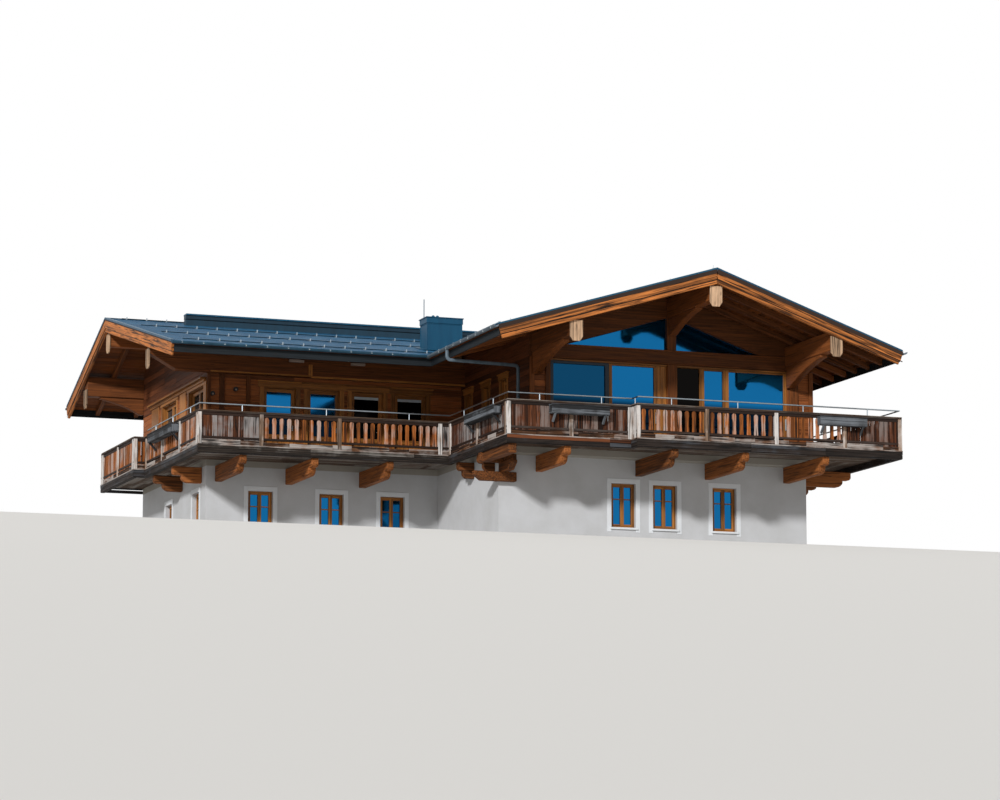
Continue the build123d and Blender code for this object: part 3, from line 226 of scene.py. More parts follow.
def wall_between(start, end):
    """The wall from one point of the plan to another, and its length."""
    start, end = Vector((*start, 0)), Vector((*end, 0))
    length = (end - start).length
    along = (end - start) / length
    return (start, along, Vector((along.y, -along.x, 0))), length


def cuts_of(luck, start, end, shortest, longest, rest):
    """Starts and stops of boards of random length; a piece shorter than the rest stays on its neighbour."""
    while end - start > 0.05:
        stop = start + luck.uniform(shortest, longest)
        if stop > end - rest:
            stop = end
        yield start, stop
        start = stop


def bar(start, end, width, height, up=UP):
    """Place of a block as a bar between two points, with its height towards up."""
    start, end = Vector(start), Vector(end)
    along = end - start
    side = Vector(up).cross(along).normalized()
    top = along.cross(side).normalized()
    rows = [(*along, 0), (*(side * width), 0), (*(top * height), 0), (*((start + end) / 2), 1)]
    return Matrix(rows).transposed()


def verge(side, eave, line, z, width, height, up=UP):
    """Place of a bar up the verge of the front or side wing, from the eave to the ridge, z off the roof."""
    if side == "front":
        return bar((eave, line, roof_x(eave) + z), (XR, line, RIDGE + z), width, height, up)
    return bar((line, eave, roof_y(eave) + z), (line, YR, RIDGE + z), width, height, up)


def box(low, high):
    """Place of a block between two corners."""
    size = [b - a for a, b in zip(low, high)]
    middle = [(a + b) / 2 for a, b in zip(low, high)]
    return Matrix.Translation(middle) @ Matrix.Diagonal((*size, 1))


def rod(start, end, radius, sides=10):
    """A round bar between two points."""
    start, end = Vector(start), Vector(end)
    bpy.ops.object.select_all(action="DESELECT")
    bpy.ops.mesh.primitive_cylinder_add(vertices=sides, radius=radius, depth=(end - start).length)
    made = bpy.context.object
    turn = UP.rotation_difference(end - start).to_matrix().to_4x4()
    made.data.transform(Matrix.Translation((start + end) / 2) @ turn)
    return made


def trim(piece, point, outward):
    """Cuts a piece by a plane, closes the cut and clears what lies beyond."""
    open_up(piece)
    bpy.ops.mesh.bisect(plane_co=point, plane_no=outward, use_fill=True, clear_outer=True)
    shut()


def mark(piece, seed=1):
    """Stores on each separate member its own grain, in metres along and across it, and a tone."""
    mesh = piece.data
    points = np.empty(len(mesh.vertices) * 3)
    mesh.vertices.foreach_get("co", points)
    points = points.reshape(-1, 3)
    ends = np.empty(len(mesh.edges) * 2, dtype=int)
    mesh.edges.foreach_get("vertices", ends)
    ends = ends.reshape(-1, 2)
    label = np.arange(len(points))
    while True:
        low = np.minimum(label[ends[:, 0]], label[ends[:, 1]])
        lower = label.copy()
        np.minimum.at(lower, ends[:, 0], low)
        np.minimum.at(lower, ends[:, 1], low)
        lower = lower[lower]
        if (lower == label).all():
            break
        label = lower
    member = np.unique(label, return_inverse=True)[1].reshape(-1)
    count = member.max() + 1
    owner = member[ends[:, 0]]
    edges = points[ends[:, 1]] - points[ends[:, 0]]
    axes = []
    for _ in range(2):
        for axis in axes:
            edges = edges - axis[owner] * np.sum(edges * axis[owner], axis=1)[:, None]
        length = np.linalg.norm(edges, axis=1)
        order = np.lexsort((np.abs(edges @ WAY), length.round(4), owner))
        longest = order[np.r_[np.nonzero(np.diff(owner[order]))[0], len(order) - 1]]
        axis = edges[longest] / np.maximum(length[longest], 1e-9)[:, None]
        # Equal edges and their two ends are told apart by WAY, so each run gives the same axes
        axes.append(axis * np.where(axis @ WAY < 0, -1, 1)[:, None])
    axes.append(np.cross(axes[0], axes[1]))
    luck = np.random.default_rng(seed)
    shift = luck.uniform(0, 40, (count, 3))
    grain = np.stack([np.sum(points * axis[member], axis=1) for axis in axes], axis=1) + shift[member]
    stored = mesh.attributes.new("grain", "FLOAT_VECTOR", "POINT")
    stored.data.foreach_set("vector", grain.astype(np.float32).reshape(-1))
    stored = mesh.attributes.new("tone", "FLOAT", "POINT")
    stored.data.foreach_set("value", luck.uniform(0, 1, count)[member].astype(np.float32))
    return piece


def coat(piece, material):
    """Gives a piece one material."""
    piece.data.materials.clear()
    piece.data.materials.append(material)
    return piece


def settle(piece, name, slot, *nodes, seed=1):
    """Names a finished piece, marks its members, hangs it under the root and hides the frame nodes it stands
    for.
    """
    piece.name = name
    open_up(piece)
    bpy.ops.mesh.delete_loose()
    shut()
    mark(piece, seed)
    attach(piece, "root")
    if nodes:
        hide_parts(*nodes)


def compose(name, slot, groups, *nodes, seed=1):
    """Settles one piece from groups: an object or places, edge width, finish and maker of the master."""
    look = finishes()
    pieces = []
    for shape, edge, finish, *master in groups:
        if isinstance(shape, list):
            shape = lay(shape, edge, *(make() for make in master))
        pieces.append(coat(shape, look[finish]))
    settle(unite(pieces), name, slot, *nodes, seed=seed)


def dress(*nodes, edge=0.01):
    """A merged copy of frame nodes with eased edges."""
    copies = []
    for node in nodes:
        copy = bpy.data.objects.new(node + "_dressed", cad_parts[node].data.copy())
        bpy.context.scene.collection.objects.link(copy)
        copies.append(copy)
    piece = unite(copies)
    open_up(piece)
    bpy.ops.mesh.remove_doubles(threshold=0.0004)
    bpy.ops.mesh.dissolve_limited(angle_limit=math.radians(1))
    shut()
    return ease(piece, edge) if edge else piece


def coat_nodes(finish, *nodes):
    """Gives nodes of the frame that show themselves a finish."""
    for node in nodes:
        coat(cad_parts[node], finishes()[finish])


def add_node(tree, kind, settings=None, links=None):
    """Adds a node, or takes one; settings go by property or socket, links by node or node and output."""
    made = tree.nodes.new("ShaderNode" + kind) if isinstance(kind, str) else kind
    for key, value in (settings or {}).items():
        if isinstance(key, str) and hasattr(made, key):
            setattr(made, key, value)
        else:
            made.inputs[key].default_value = value
    for key, source in (links or {}).items():
        source, output = source if isinstance(source, tuple) else (source, 0)
        tree.links.new(source.outputs[output], made.inputs[key])
    return made


def fresh(name):
    """A new material with its node tree and shader, or None in place of the tree if it exists."""
    made = bpy.data.materials.get(name)
    if made:
        return made, None, None
    made = bpy.data.materials.new(name)
    made.use_nodes = True
    return made, made.node_tree, made.node_tree.nodes["Principled BSDF"]


def timber(name, colour, depth, worn, wear, roughness=0.62, contrast=1.5, checks=34):
    """Sawn timber: the figure runs along each member, and tone, knots and weather vary between them."""
    made, tree, shader = fresh(name)
    if tree is None:
        return made
    grain = (add_node(tree, "Attribute", {"attribute_name": "grain"}), "Vector")
    tone = (add_node(tree, "Attribute", {"attribute_name": "tone"}), "Fac")
    place = (add_node(tree, "TexCoord"), "Object")
    # Growth lines 3 mm apart are too fine to show, so the figure is drawn about 50 mm wide
    wide = add_node(tree, "Mapping", {"Scale": (0.5, 20, 20)}, {"Vector": grain})
    wavy = {"Scale": 1.0, "Detail": 5.0, "Roughness": 0.62, "Distortion": 0.5}
    figure = add_node(tree, "TexNoise", wavy, {"Vector": wide})
    # Saw marks and open grain about 8 mm wide
    fine = add_node(tree, "Mapping", {"Scale": (3, 120, 120)}, {"Vector": grain})
    saw = add_node(tree, "TexNoise", {"Scale": 1.0, "Detail": 3.0}, {"Vector": fine})
    share = add_node(tree, "Math", {"operation": "MULTIPLY_ADD", 1: 0.75, 2: -0.1}, {0: tone})
    spread = {"operation": "MULTIPLY_ADD", 1: contrast, 2: 0.2 - contrast / 2}
    spread = add_node(tree, "Math", spread, {0: figure})
    total = add_node(tree, "Math", {"operation": "ADD"}, {0: share, 1: spread})
    shades = {"data_type": "RGBA", MIX_A: rgba(colour, depth), MIX_B: rgba(colour)}
    shade = add_node(tree, "Mix", shades, {0: total})
    # Knots about 35 mm across, one or two to the metre
    knots = add_node(tree, "Mapping", {"Scale": (1.6, 7, 7)}, {"Vector": grain})
    knot = add_node(tree, "TexVoronoi", {"Scale": 1.0}, {"Vector": knots})
    near = {"From Min": 0.06, "From Max": 0.14, "To Min": 0.55, "To Max": 0.0}
    near = add_node(tree, "MapRange", near, {"Value": knot})
    dark = {"data_type": "RGBA", MIX_B: rgba("#2B1A10")}
    knotty = add_node(tree, "Mix", dark, {0: near, MIX_A: (shade, MIXED)})
    # Weather silvers the wood in patches half a metre wide and along the grain, more on some members
    patch = add_node(tree, "TexNoise", {"Scale": 1.7, "Detail": 4.0, "Roughness": 0.6}, {"Vector": place})
    silver = add_node(tree, "Math", {"operation": "MULTIPLY_ADD", 1: 0.55}, {0: tone, 2: patch})
    silver = add_node(tree, "Math", {"operation": "ADD"}, {0: silver, 1: figure})
    reach = {"From Min": 1.68 - wear, "From Max": 2.0 - wear, "To Min": 0.0, "To Max": min(1.0, wear * 1.7)}
    reach = add_node(tree, "MapRange", reach, {"Value": silver})
    pale = {"data_type": "RGBA", MIX_B: rgba(worn)}
    aged = add_node(tree, "Mix", pale, {0: reach, MIX_A: (knotty, MIXED)})
    # Drying checks: black lines along the grain, up to 15 mm wide, or as coarse as they need to show
    lines = add_node(tree, "Mapping", {"Scale": (1.1, checks, checks)}, {"Vector": grain})
    check = add_node(tree, "TexNoise", {"Scale": 1.0, "Detail": 3.0}, {"Vector": lines})
    closed = {"From Min": 0.36, "From Max": 0.47, "To Min": max(0.1, 1 - contrast * 0.3), "To Max": 1.0}
    closed = add_node(tree, "MapRange", closed, {"Value": check})
    both = {"data_type": "RGBA", "blend_type": "MULTIPLY", 0: 1.0}
    checked = add_node(tree, "Mix", both, {MIX_A: (aged, MIXED), MIX_B: closed})
    streaky = add_node(tree, "Mix", {**both, 0: 0.35}, {MIX_A: (checked, MIXED), MIX_B: saw})
    dull = {"To Min": roughness - 0.12, "To Max": roughness + 0.16}
    dull = add_node(tree, "MapRange", dull, {"Value": figure})
    relief = add_node(tree, "Math", {"operation": "MULTIPLY_ADD", 1: 0.6}, {0: figure, 2: saw})
    bump = add_node(tree, "Bump", {"Strength": 0.5, "Distance": 0.004}, {"Height": relief})
    ends = {"Base Color": (streaky, MIXED), "Roughness": dull, "Normal": bump}
    add_node(tree, shader, {"Specular IOR Level": 0.2}, ends)
    return made


def sheet(name, colour, dust, roughness, metallic=0.0):
    """Coated or bare metal sheet: even colour, a little dust and rain marks, slight waviness."""
    made, tree, shader = fresh(name)
    if tree is None:
        return made
    place = (add_node(tree, "TexCoord"), "Object")
    tone = (add_node(tree, "Attribute", {"attribute_name": "tone"}), "Fac")
    # Rain marks a hand wide and a metre long
    rain = add_node(tree, "Mapping", {"Scale": (6, 6, 1.2)}, {"Vector": place})
    marks = add_node(tree, "TexNoise", {"Scale": 1.0, "Detail": 5.0}, {"Vector": rain})
    amount = add_node(tree, "Math", {"operation": "MULTIPLY_ADD", 1: 0.5}, {0: tone, 2: marks})
    dusty = {"From Min": 0.35, "From Max": 1.15, "To Min": 0.0, "To Max": 0.75}
    dusty = add_node(tree, "MapRange", dusty, {"Value": amount})
    shades = {"data_type": "RGBA", MIX_A: rgba(colour), MIX_B: rgba(dust)}
    shade = add_node(tree, "Mix", shades, {0: dusty})
    dull = {"To Min": roughness - 0.08, "To Max": roughness + 0.14}
    dull = add_node(tree, "MapRange", dull, {"Value": marks})
    # Oil-canning of thin sheet, waves about 200 mm long
    wave = add_node(tree, "TexNoise", {"Scale": 5.0, "Detail": 2.0}, {"Vector": place})
    bump = add_node(tree, "Bump", {"Strength": 0.35, "Distance": 0.004}, {"Height": wave})
    gloss = {"Metallic": metallic} if metallic else {"Specular IOR Level": 0.3}
    add_node(tree, shader, gloss, {"Base Color": (shade, MIXED), "Roughness": dull, "Normal": bump})
    return made


def mineral(name, colour, stain, grain_size, roughness=0.88):
    """Lime plaster, screed or earth: a grain of the given size, faint patches and a damp, darker foot."""
    made, tree, shader = fresh(name)
    if tree is None:
        return made
    place = (add_node(tree, "TexCoord"), "Object")
    patch = add_node(tree, "TexNoise", {"Scale": 0.9, "Detail": 6.0, "Roughness": 0.6}, {"Vector": place})
    grit = add_node(tree, "TexNoise", {"Scale": 1 / grain_size, "Detail": 4.0}, {"Vector": place})
    height = (add_node(tree, "SeparateXYZ", None, {0: place}), "Z")
    foot = {"From Min": 0.0, "From Max": 0.6, "To Min": 0.45, "To Max": 0.0}
    foot = add_node(tree, "MapRange", foot, {"Value": height})
    cloudy = {"From Min": 0.4, "From Max": 0.75, "To Min": 0.0, "To Max": 0.35}
    cloudy = add_node(tree, "MapRange", cloudy, {"Value": patch})
    dirt = add_node(tree, "Math", {"operation": "ADD"}, {0: foot, 1: cloudy})
    shades = {"data_type": "RGBA", MIX_A: rgba(colour), MIX_B: rgba(stain)}
    shade = add_node(tree, "Mix", shades, {0: dirt})
    bump = add_node(tree, "Bump", {"Strength": 0.6, "Distance": 0.006}, {"Height": grit})
    add_node(tree, shader, {"Roughness": roughness}, {"Base Color": (shade, MIXED), "Normal": bump})
    return made


def pane(name, tint, roughness):
    """Sun-coated glass: it mirrors the sky with a blue tint; below the hand rail of the upper storey it
    darkens to near black, a painted reflection of the railing.
    """
    made, tree, shader = fresh(name)
    if tree is None:
        return made
    place = (add_node(tree, "TexCoord"), "Object")
    # Slight bow of insulating panes, waves about a metre long
    bow = add_node(tree, "TexNoise", {"Scale": 0.9, "Detail": 1.0}, {"Vector": place})
    bump = add_node(tree, "Bump", {"Strength": 0.12, "Distance": 0.01}, {"Height": bow})
    film = {"From Min": 0.3, "From Max": 0.7, "To Min": roughness, "To Max": roughness + 0.05}
    film = add_node(tree, "MapRange", film, {"Value": bow})
    # Clear above the hand rail, and all over in the ground storey; lower down in the upper storey the tint
    # falls to near black, a painted reflection of the dark railing
    height = (add_node(tree, "SeparateXYZ", None, {0: place}), "Z")
    above = {"From Min": FLOOR + 1.38, "From Max": FLOOR + 1.6, "To Min": 0.0, "To Max": 1.0}
    above = add_node(tree, "MapRange", above, {"Value": height})
    low = add_node(tree, "Math", {"operation": "LESS_THAN", 1: FLOOR - 0.1}, {0: height})
    clear = add_node(tree, "Math", {"operation": "MAXIMUM"}, {0: above, 1: low})
    # The first colour, a twentieth of the tint, is the painted reflection of the railing
    shades = {"data_type": "RGBA", MIX_A: rgba(tint, 0.05), MIX_B: rgba(tint)}
    shade = add_node(tree, "Mix", shades, {0: clear})
    ends = {"Base Color": (shade, MIXED), "Roughness": film, "Normal": bump}
    add_node(tree, shader, {"Metallic": 0.95}, ends)
    return made


def finishes():
    """All finishes of the house by short name."""
    chosen = bpy.context.scene.chalet_colours
    return {
        # Sawn larch cladding under oil, darkened by the sun: warm brown boards of uneven tone
        "wall": timber("oiled_larch_cladding", chosen.wall, 0.26, "#5E4632", 0.25),
        # The same boards below the eaves, much deeper brown: painted shade of the eaves
        "dark_wall": timber("larch_cladding_painted_shade", "#7E4626", 0.2, "#3A2A1E", 0.2),
        # Planed larch of the roof underside, kept from the rain: even, deep red brown
        "soffit": timber("larch_soffit_boards", chosen.soffit, 0.3, "#4A3020", 0.12),
        # Hewn spruce beams: dark brown with drying checks
        "beam": timber("hewn_spruce_beams", chosen.beam, 0.26, "#5C432F", 0.2),
        # Planed larch verge boards facing the sun: orange with dark streaks
        "barge": timber("planed_larch_verge_boards", chosen.verge, 0.12, "#7A5233", 0.3, 0.62, 3.2, 20),
        # Carved consoles, kept from the rain by the balcony: brown, darker in the cuts
        "console": timber("carved_larch_consoles", chosen.console, 0.16, "#5A4030", 0.2, 0.7, 2.2),
        # Fresh sawn larch end boards: pale, straw-coloured, with dark runs
        "end": timber("fresh_sawn_larch_boards", chosen.end, 0.25, "#9A7C62", 0.3, 0.7, 3.4),
        # Old railing boards: dark brown or silver grey, orange where the weather can't reach
        "rail": timber("weathered_larch_boards", "#8E502C", 0.05, "#918D8B", 0.55, 0.8, 3.1, 17),
        # Uprights of the open bays and boards of the gable runs: orange wood with silvered edges, brightened
        # to its sunlit look: partly painted sunlight
        "baluster": timber("sunlit_larch_uprights", "#DE8038", 0.14, "#B2ADA8", 0.44, 0.75, 3.0, 20),
        # Posts fully in the rain: silver grey
        "post": timber("silvered_larch_posts", "#CDA88C", 0.25, "#DAD4CF", 0.6, 0.8, 2.2, 20),
        # Skirting boards: bleached, with black runs and split edges
        "skirt": timber("bleached_larch_skirting", "#8A5C3C", 0.04, "#B4AEA9", 0.5, 0.85, 3.3, 15),
        # Deck planks: silver brown, worn by feet
        "deck": timber("silvered_larch_planks", "#7C6553", 0.3, "#8E8882", 0.5, 0.8),
        # Handrail and lower rail soaked dark by rain
        "handrail": timber("rain_dark_oak_rails", "#3E2A20", 0.25, "#55504C", 0.35, 0.7),
        # The same boards below the deep front roof, still largely brown
        "front_rail": timber("browned_larch_boards", "#7C4628", 0.05, "#85807C", 0.4, 0.8, 3.1, 17),
        # The edge beams that face the afternoon sun, bleached to a warm grey
        "side_edge": timber("sun_bleached_spruce_beams", "#4E4239", 0.14, "#8B8680", 0.5, 0.75, 2.6, 20),
        # Edge beams on the other sides: slate grey from the rain, brown in the cracks
        "edge": timber("rain_grey_spruce_beams", "#3E332D", 0.14, "#50575F", 0.4, 0.75, 2.6, 20),
        # Eave boards below the gutter, nearly black: painted shade of the gutter
        "fascia": timber("eave_boards_painted_shade", "#232A2F", 0.4, "#2E3438", 0.2, 0.6),
        # Varnished larch window frames: honey brown, a little gloss
        "frame": timber("varnished_larch_frames", "#C8823F", 0.35, "#8A6440", 0.1, 0.42),
        # Stained spruce flower boxes: dark slate grey boards with pale worn rims
        "box": timber("stained_spruce_boxes", "#46474A", 0.22, "#777C82", 0.5, 0.78, 2.2),
        # Coil-coated aluminium shingles: matt blue grey with dust along the laps
        "roof": sheet("coated_aluminium_shingles", chosen.roof, "#346F92", 0.45),
        # Folded coated sheet of chimney and caps: teal blue, smoother
        "cap": sheet("folded_coated_sheet", chosen.trim, "#14546F", 0.4),
        # Folded sheet of the long upstand and the snow bars: teal darkened to near black, painted shade
        "upstand": sheet("coated_sheet_painted_shade", "#0B2330", "#16384A", 0.45),
        # Dark band under the roof edge and a strip in the joint below the verge board: dark umber sheet,
        # dull, as painted shade
        "band_sheet": sheet("verge_band_painted_shade", "#23150C", "#38251A", 0.7),
        # Weathered grey gutters: dull, darker below
        "gutter": sheet("grey_gutter_sheet", chosen.gutter, "#8794A0", 0.45),
        # Gutters of the side wing, coated like the roof: dark teal
        "teal_gutter": sheet("coated_gutter_sheet", "#16384A", "#3B6075", 0.45),
        # Galvanised hooks and brackets: pale and dry
        "zinc": sheet("galvanised_steel", "#A9B4BA", "#C9D1D4", 0.5, 0.5),
        # Stainless pipe: brushed
        "steel": sheet("brushed_stainless_pipe", "#9AA3AA", "#BCC6CC", 0.3, 1.0),
        # Powder-coated aluminium of the sliding leaf: blue grey
        "alu": sheet("powder_coated_aluminium", "#1E2A36", "#33414E", 0.45),
        # Lamp housings: black powder coat
        "lamp": sheet("black_lamp_housing", "#17181A", "#2A2B2D", 0.5),
        # Lamp covers: milky, tinted reddish as a painted reflection of the wood around them
        "shade": sheet("milky_lamp_cover_painted_reflection", "#8E7D74", "#A8978C", 0.5),
        # Lime plaster: off-white, trowelled grain of 20 mm
        "plaster": mineral("lime_plaster", chosen.plaster, "#969590", 0.02),
        # Smooth painted bands round the windows
        "band": mineral("smooth_lime_paint", "#D6D9DC", "#BFC0C0", 0.012),
        # Floated screed of the floor slabs
        "screed": mineral("floated_screed", "#9A958C", "#7E786E", 0.015),
        # Planed spruce of the wall cores, seen only from the rooms: pale brown
        "core": mineral("planed_spruce_cores", "#A97F54", "#7C5A3A", 0.05, 0.7),
        # Potting earth in the boxes: near black, crumbly
        "earth": mineral("potting_earth", "#2A1E15", "#15100B", 0.018, 0.95),
        # Sun-coated glass: mirrors the sky in strong blue
        "glass": pane("coated_blue_glass", chosen.glass, 0.03),
        # The same glass behind an insect screen: deeper blue
        "deep_glass": pane("screened_blue_glass", "#0A4264", 0.08),
        # The same glass before a dark room, painted near black: painted shade of the room behind
        "dark_glass": pane("coated_glass_painted_dark", "#0C0A09", 0.05),
    }


def slope(side, lip, hold):
    """Corner, axes, size and cutting planes of a slope, lip beyond the boards, hold short of the verge."""
    ma, mb, mf, ml = XA - lip, XB + lip, YF - lip, XL - lip
    mc = YC - lip * (YR - YC) / (XR - XA)
    md = YD + lip * (YD - YR) / (XB - XR)
    valley = (Vector((XR, YR, 0)), Vector((mc - YR, XR - ma, 0)).normalized())
    hip = (Vector((XR, YR, 0)), Vector((YR - md, mb - XR, 0)).normalized())
    verge_front = (Vector((0, mf + hold, 0)), Vector((0, -1, 0)))
    verge_side = (Vector((ml + hold, 0, 0)), Vector((-1, 0, 0)))
    ridge_x, ridge_y = Vector((XR, 0, 0)), Vector((0, YR, 0))
    if side == "west":
        corner, along, up = (ma, YR, roof_x(ma)), Vector((0, -1, 0)), Vector((1, 0, SLOPE_WEST))
        return corner, along, up, YR - mf, XR - ma, (verge_front, valley, (ridge_x, Vector((1, 0, 0))))
    if side == "east":
        corner, along, up = (mb, mf, roof_x(mb)), Vector((0, 1, 0)), Vector((-1, 0, SLOPE_EAST))
        return corner, along, up, md - mf, mb - XR, (verge_front, hip, (ridge_x, Vector((-1, 0, 0))))
    if side == "side_front":
        corner, along, up = (ml, mc, roof_y(mc)), Vector((1, 0, 0)), Vector((0, 1, SLOPE_FRONT))
        cuts = (verge_side, (valley[0], -valley[1]), (ridge_y, Vector((0, 1, 0))))
        return corner, along, up, XR - ml, YR - mc, cuts
    corner, along, up = (mb, md, roof_y(md)), Vector((-1, 0, 0)), Vector((0, -1, SLOPE_BACK))
    cuts = (verge_side, (hip[0], -hip[1]), (ridge_y, Vector((0, -1, 0))))
    return corner, along, up, mb - ml, md - YR, cuts


def cover(side, lip, master, width, rise, hold=0.0):
    """Repeats a master over a slope, width apart along it and rise apart up it, and trims it."""
    corner, along, up, length, run, cuts = slope(side, lip, hold)
    up = up.normalized()
    run = run / math.hypot(up.x, up.y)
    alone(master)
    for axis, step, count in ((0, width, length / width + 2), (1, rise, run / rise + 1)):
        made = master.modifiers.new("courses", "ARRAY")
        made.use_relative_offset = False
        made.use_constant_offset = True
        made.constant_offset_displace = (step, 0, 0) if axis == 0 else (0, step, 0)
        made.count = int(count)
        bpy.ops.object.modifier_apply(modifier=made.name)
    normal = along.cross(up)
    master.data.transform(Matrix([(*along, 0), (*up, 0), (*normal, 0), (*corner, 1)]).transposed())
    for point, outward in cuts:
        trim(master, point, outward)
    return master


def length(name, description, default, **limits):
    """A length property in metres."""
    says = {"name": name, "description": description, "default": default, "unit": "LENGTH"}
    return bpy.props.FloatProperty(**says, **limits)


def colour(name, code):
    """A colour property with a default given as a hex code."""
    text = f"Colour of the {name.lower()}"
    return bpy.props.FloatVectorProperty(
        name=name, description=text, subtype="COLOR", size=3, min=0, max=1, default=linear(code)
    )


class ChaletSizes(bpy.types.PropertyGroup):
    """Sizes of the boards, shingles and trims"""

    board: length("Wall board", "Height of a wall board", 0.18, min=0.08, max=0.4)
    plank: length("Roof plank", "Width of a plank of the roof underside", 0.19)
    deck_plank: length("Deck plank", "Width of a plank of the balcony", 0.16)
    shingle: length("Shingle width", "Width of a roof shingle", 0.66, min=0.3, max=1.2)
    course: length("Shingle course", "Visible height of a shingle", 0.44, min=0.2)
    casing: length("Casing", "Width of the casing round an opening", 0.12)
    rail_board: length("Railing board", "Width of an upright railing board", 0.16)
    gap: length("Joint", "Gap between two boards", 0.006, min=0.002, max=0.02)


class ChaletColours(bpy.types.PropertyGroup):
    """Main colours of the timber, sheet, plaster and glass"""

    wall: colour("Wall boards", "#C9743C")
    soffit: colour("Roof underside", "#87491B")
    beam: colour("Beams and posts", "#A55F2E")
    verge: colour("Verge boards", "#EA8F48")
    console: colour("Consoles", "#B46C36")
    end: colour("Purlin end boards", "#EBC29C")
    roof: colour("Roof shingles", "#0C4566")
    trim: colour("Roof trim", "#003A56")
    gutter: colour("Gutters", "#4E5C66")
    plaster: colour("Plaster", "#BDBEC0")
    glass: colour("Glass", "#0F659B")


def sizes():
    """The sizes chosen in the sidebar."""
    return bpy.context.scene.chalet_sizes


class CHALET_OT_stage(bpy.types.Operator):
    """Plain floor, soft studio light and the camera at the angle of the photograph"""

    bl_idname = "chalet.stage"
    bl_label = "Stage"

    def execute(self, context):
        paint, tree, shader = fresh("studio_floor")
        add_node(tree, shader, {"Base Color": rgba("#E4E2DE"), "Roughness": 0.9})
        # The floor is level under the house and falls away in front, where the photograph looks up at it
        size, front = 600, -11
        bpy.ops.object.select_all(action="DESELECT")
        bpy.ops.mesh.primitive_plane_add(size=size)
        floor = coat(context.object, paint)
        floor.name = "floor"
        floor.data.transform(Matrix.Translation((0, size / 2 + front, 0)))
        points = floor.data.vertices
        pick(floor, "EDGE", lambda edge: all(points[number].co.y < 0 for number in edge.vertices))
        for run, fall in ((0.5, 0), (1, 0.04), (1, 0.1), (1.5, 0.19), (4.5, 0.62), (85, 11.45), (206, 0)):
            bpy.ops.mesh.extrude_region_move(TRANSFORM_OT_translate={"value": (0, -run, -fall)})
        shut()
        bpy.ops.object.shade_smooth()
        # White where the camera or a reflection looks past the floor, a plain level for all else
        world = context.scene.world or bpy.data.worlds.new("studio")
        context.scene.world = world
        world.use_nodes = True
        tree = world.node_tree
        tree.nodes.clear()
        path = add_node(tree, "LightPath")
        seen = (path, "Is Camera Ray")
        for ray in ("Is Glossy Ray", "Is Transmission Ray"):
            seen = add_node(tree, "Math", {"operation": "MAXIMUM"}, {0: seen, 1: (path, ray)})
        strength = add_node(tree, "MapRange", {"To Min": 0.42, "To Max": 1.0}, {"Value": seen})
        back = add_node(tree, "Background", {"Color": (1, 1, 1, 1)}, {"Strength": strength})
        add_node(tree, "OutputWorld", None, {"Surface": back})
        turn = (math.radians(68), 0, math.radians(-40))
        bpy.ops.object.light_add(type="SUN", location=(-20, -30, 30), rotation=turn)
        context.object.data.energy = 3.0
        context.object.data.angle = math.radians(5)
        turn = (math.radians(98.58), 0, math.radians(-20.09))
        bpy.ops.object.camera_add(location=(-35.68, -101.1, -10.55), rotation=turn)
        camera = context.object
        camera.data.sensor_width = 36
        camera.data.lens = 122.8
        camera.data.clip_end = 2000
        context.scene.camera = camera
        context.scene.view_settings.view_transform = "Standard"
        return {"FINISHED"}


class CHALET_OT_covering(bpy.types.Operator):
    """Metal shingles on a lowered base sheet, with rows of low snow bars and their hooks; the near-black bars
    paint the shadow line along each row
    """

    bl_idname = "chalet.covering"
    bl_label = "Roof covering"

    def execute(self, context):
        width, course = sizes().shingle, sizes().course
        hold, snow_hold, rows = 0.012, 0.5, 2 * ROWS * course
        for number, side in enumerate(SLOPES):
            base = dress(f"metal_{side}", edge=0)
            pick(base, "FACE", lambda face: face.normal.z > 0.5)
            bpy.ops.transform.translate(value=(0, 0, -0.036))
            shut()
            if side in ("west", "east"):
                trim(base, (0, YF - LIP + hold, 0), (0, -1, 0))
            else:
                trim(base, (XL - LIP + hold, 0, 0), (-1, 0, 0))
            tiles, bars, hooks = [], [], []
            for row in (0, 1):
                x, y, snow = (row - 1) * width / 2, row * course, row * course * ROWS + 0.62
                tiles.append(bar((x, y, 0.067), (x, y + course + 0.04, 0.051), width - 0.006, 0.014))
                bars.append(box((x - width / 2, snow, 0.085), (x + width / 2, snow + 0.02, 0.115)))
                hooks.append(box((x - 0.016, snow - 0.01, 0.06), (x + 0.016, snow, 0.16)))
                hooks.append(box((x - 0.016, snow - 0.01, 0.07), (x + 0.016, snow + 0.26, 0.08)))
            shingles = cover(side, LIP, lay(tiles, 0.003), width, 2 * course, hold)
            stops = cover(side, LIP, lay(bars, 0), width, rows, snow_hold)
            ticks = cover(side, LIP, lay(hooks, 0), width, rows, snow_hold)
            groups = ((base, 0, "roof"), (shingles, 0, "roof"))
            compose(f"covering_{side}", "roof_metal", groups, f"metal_{side}", seed=number)
            # The snow bars take the near-black sheet: a painted shadow line along the row
            groups = ((ticks, 0, "zinc"), (stops, 0, "upstand"))
            compose(f"snow_hooks_{side}", "roof_metal", groups, seed=number)
        return {"FINISHED"}


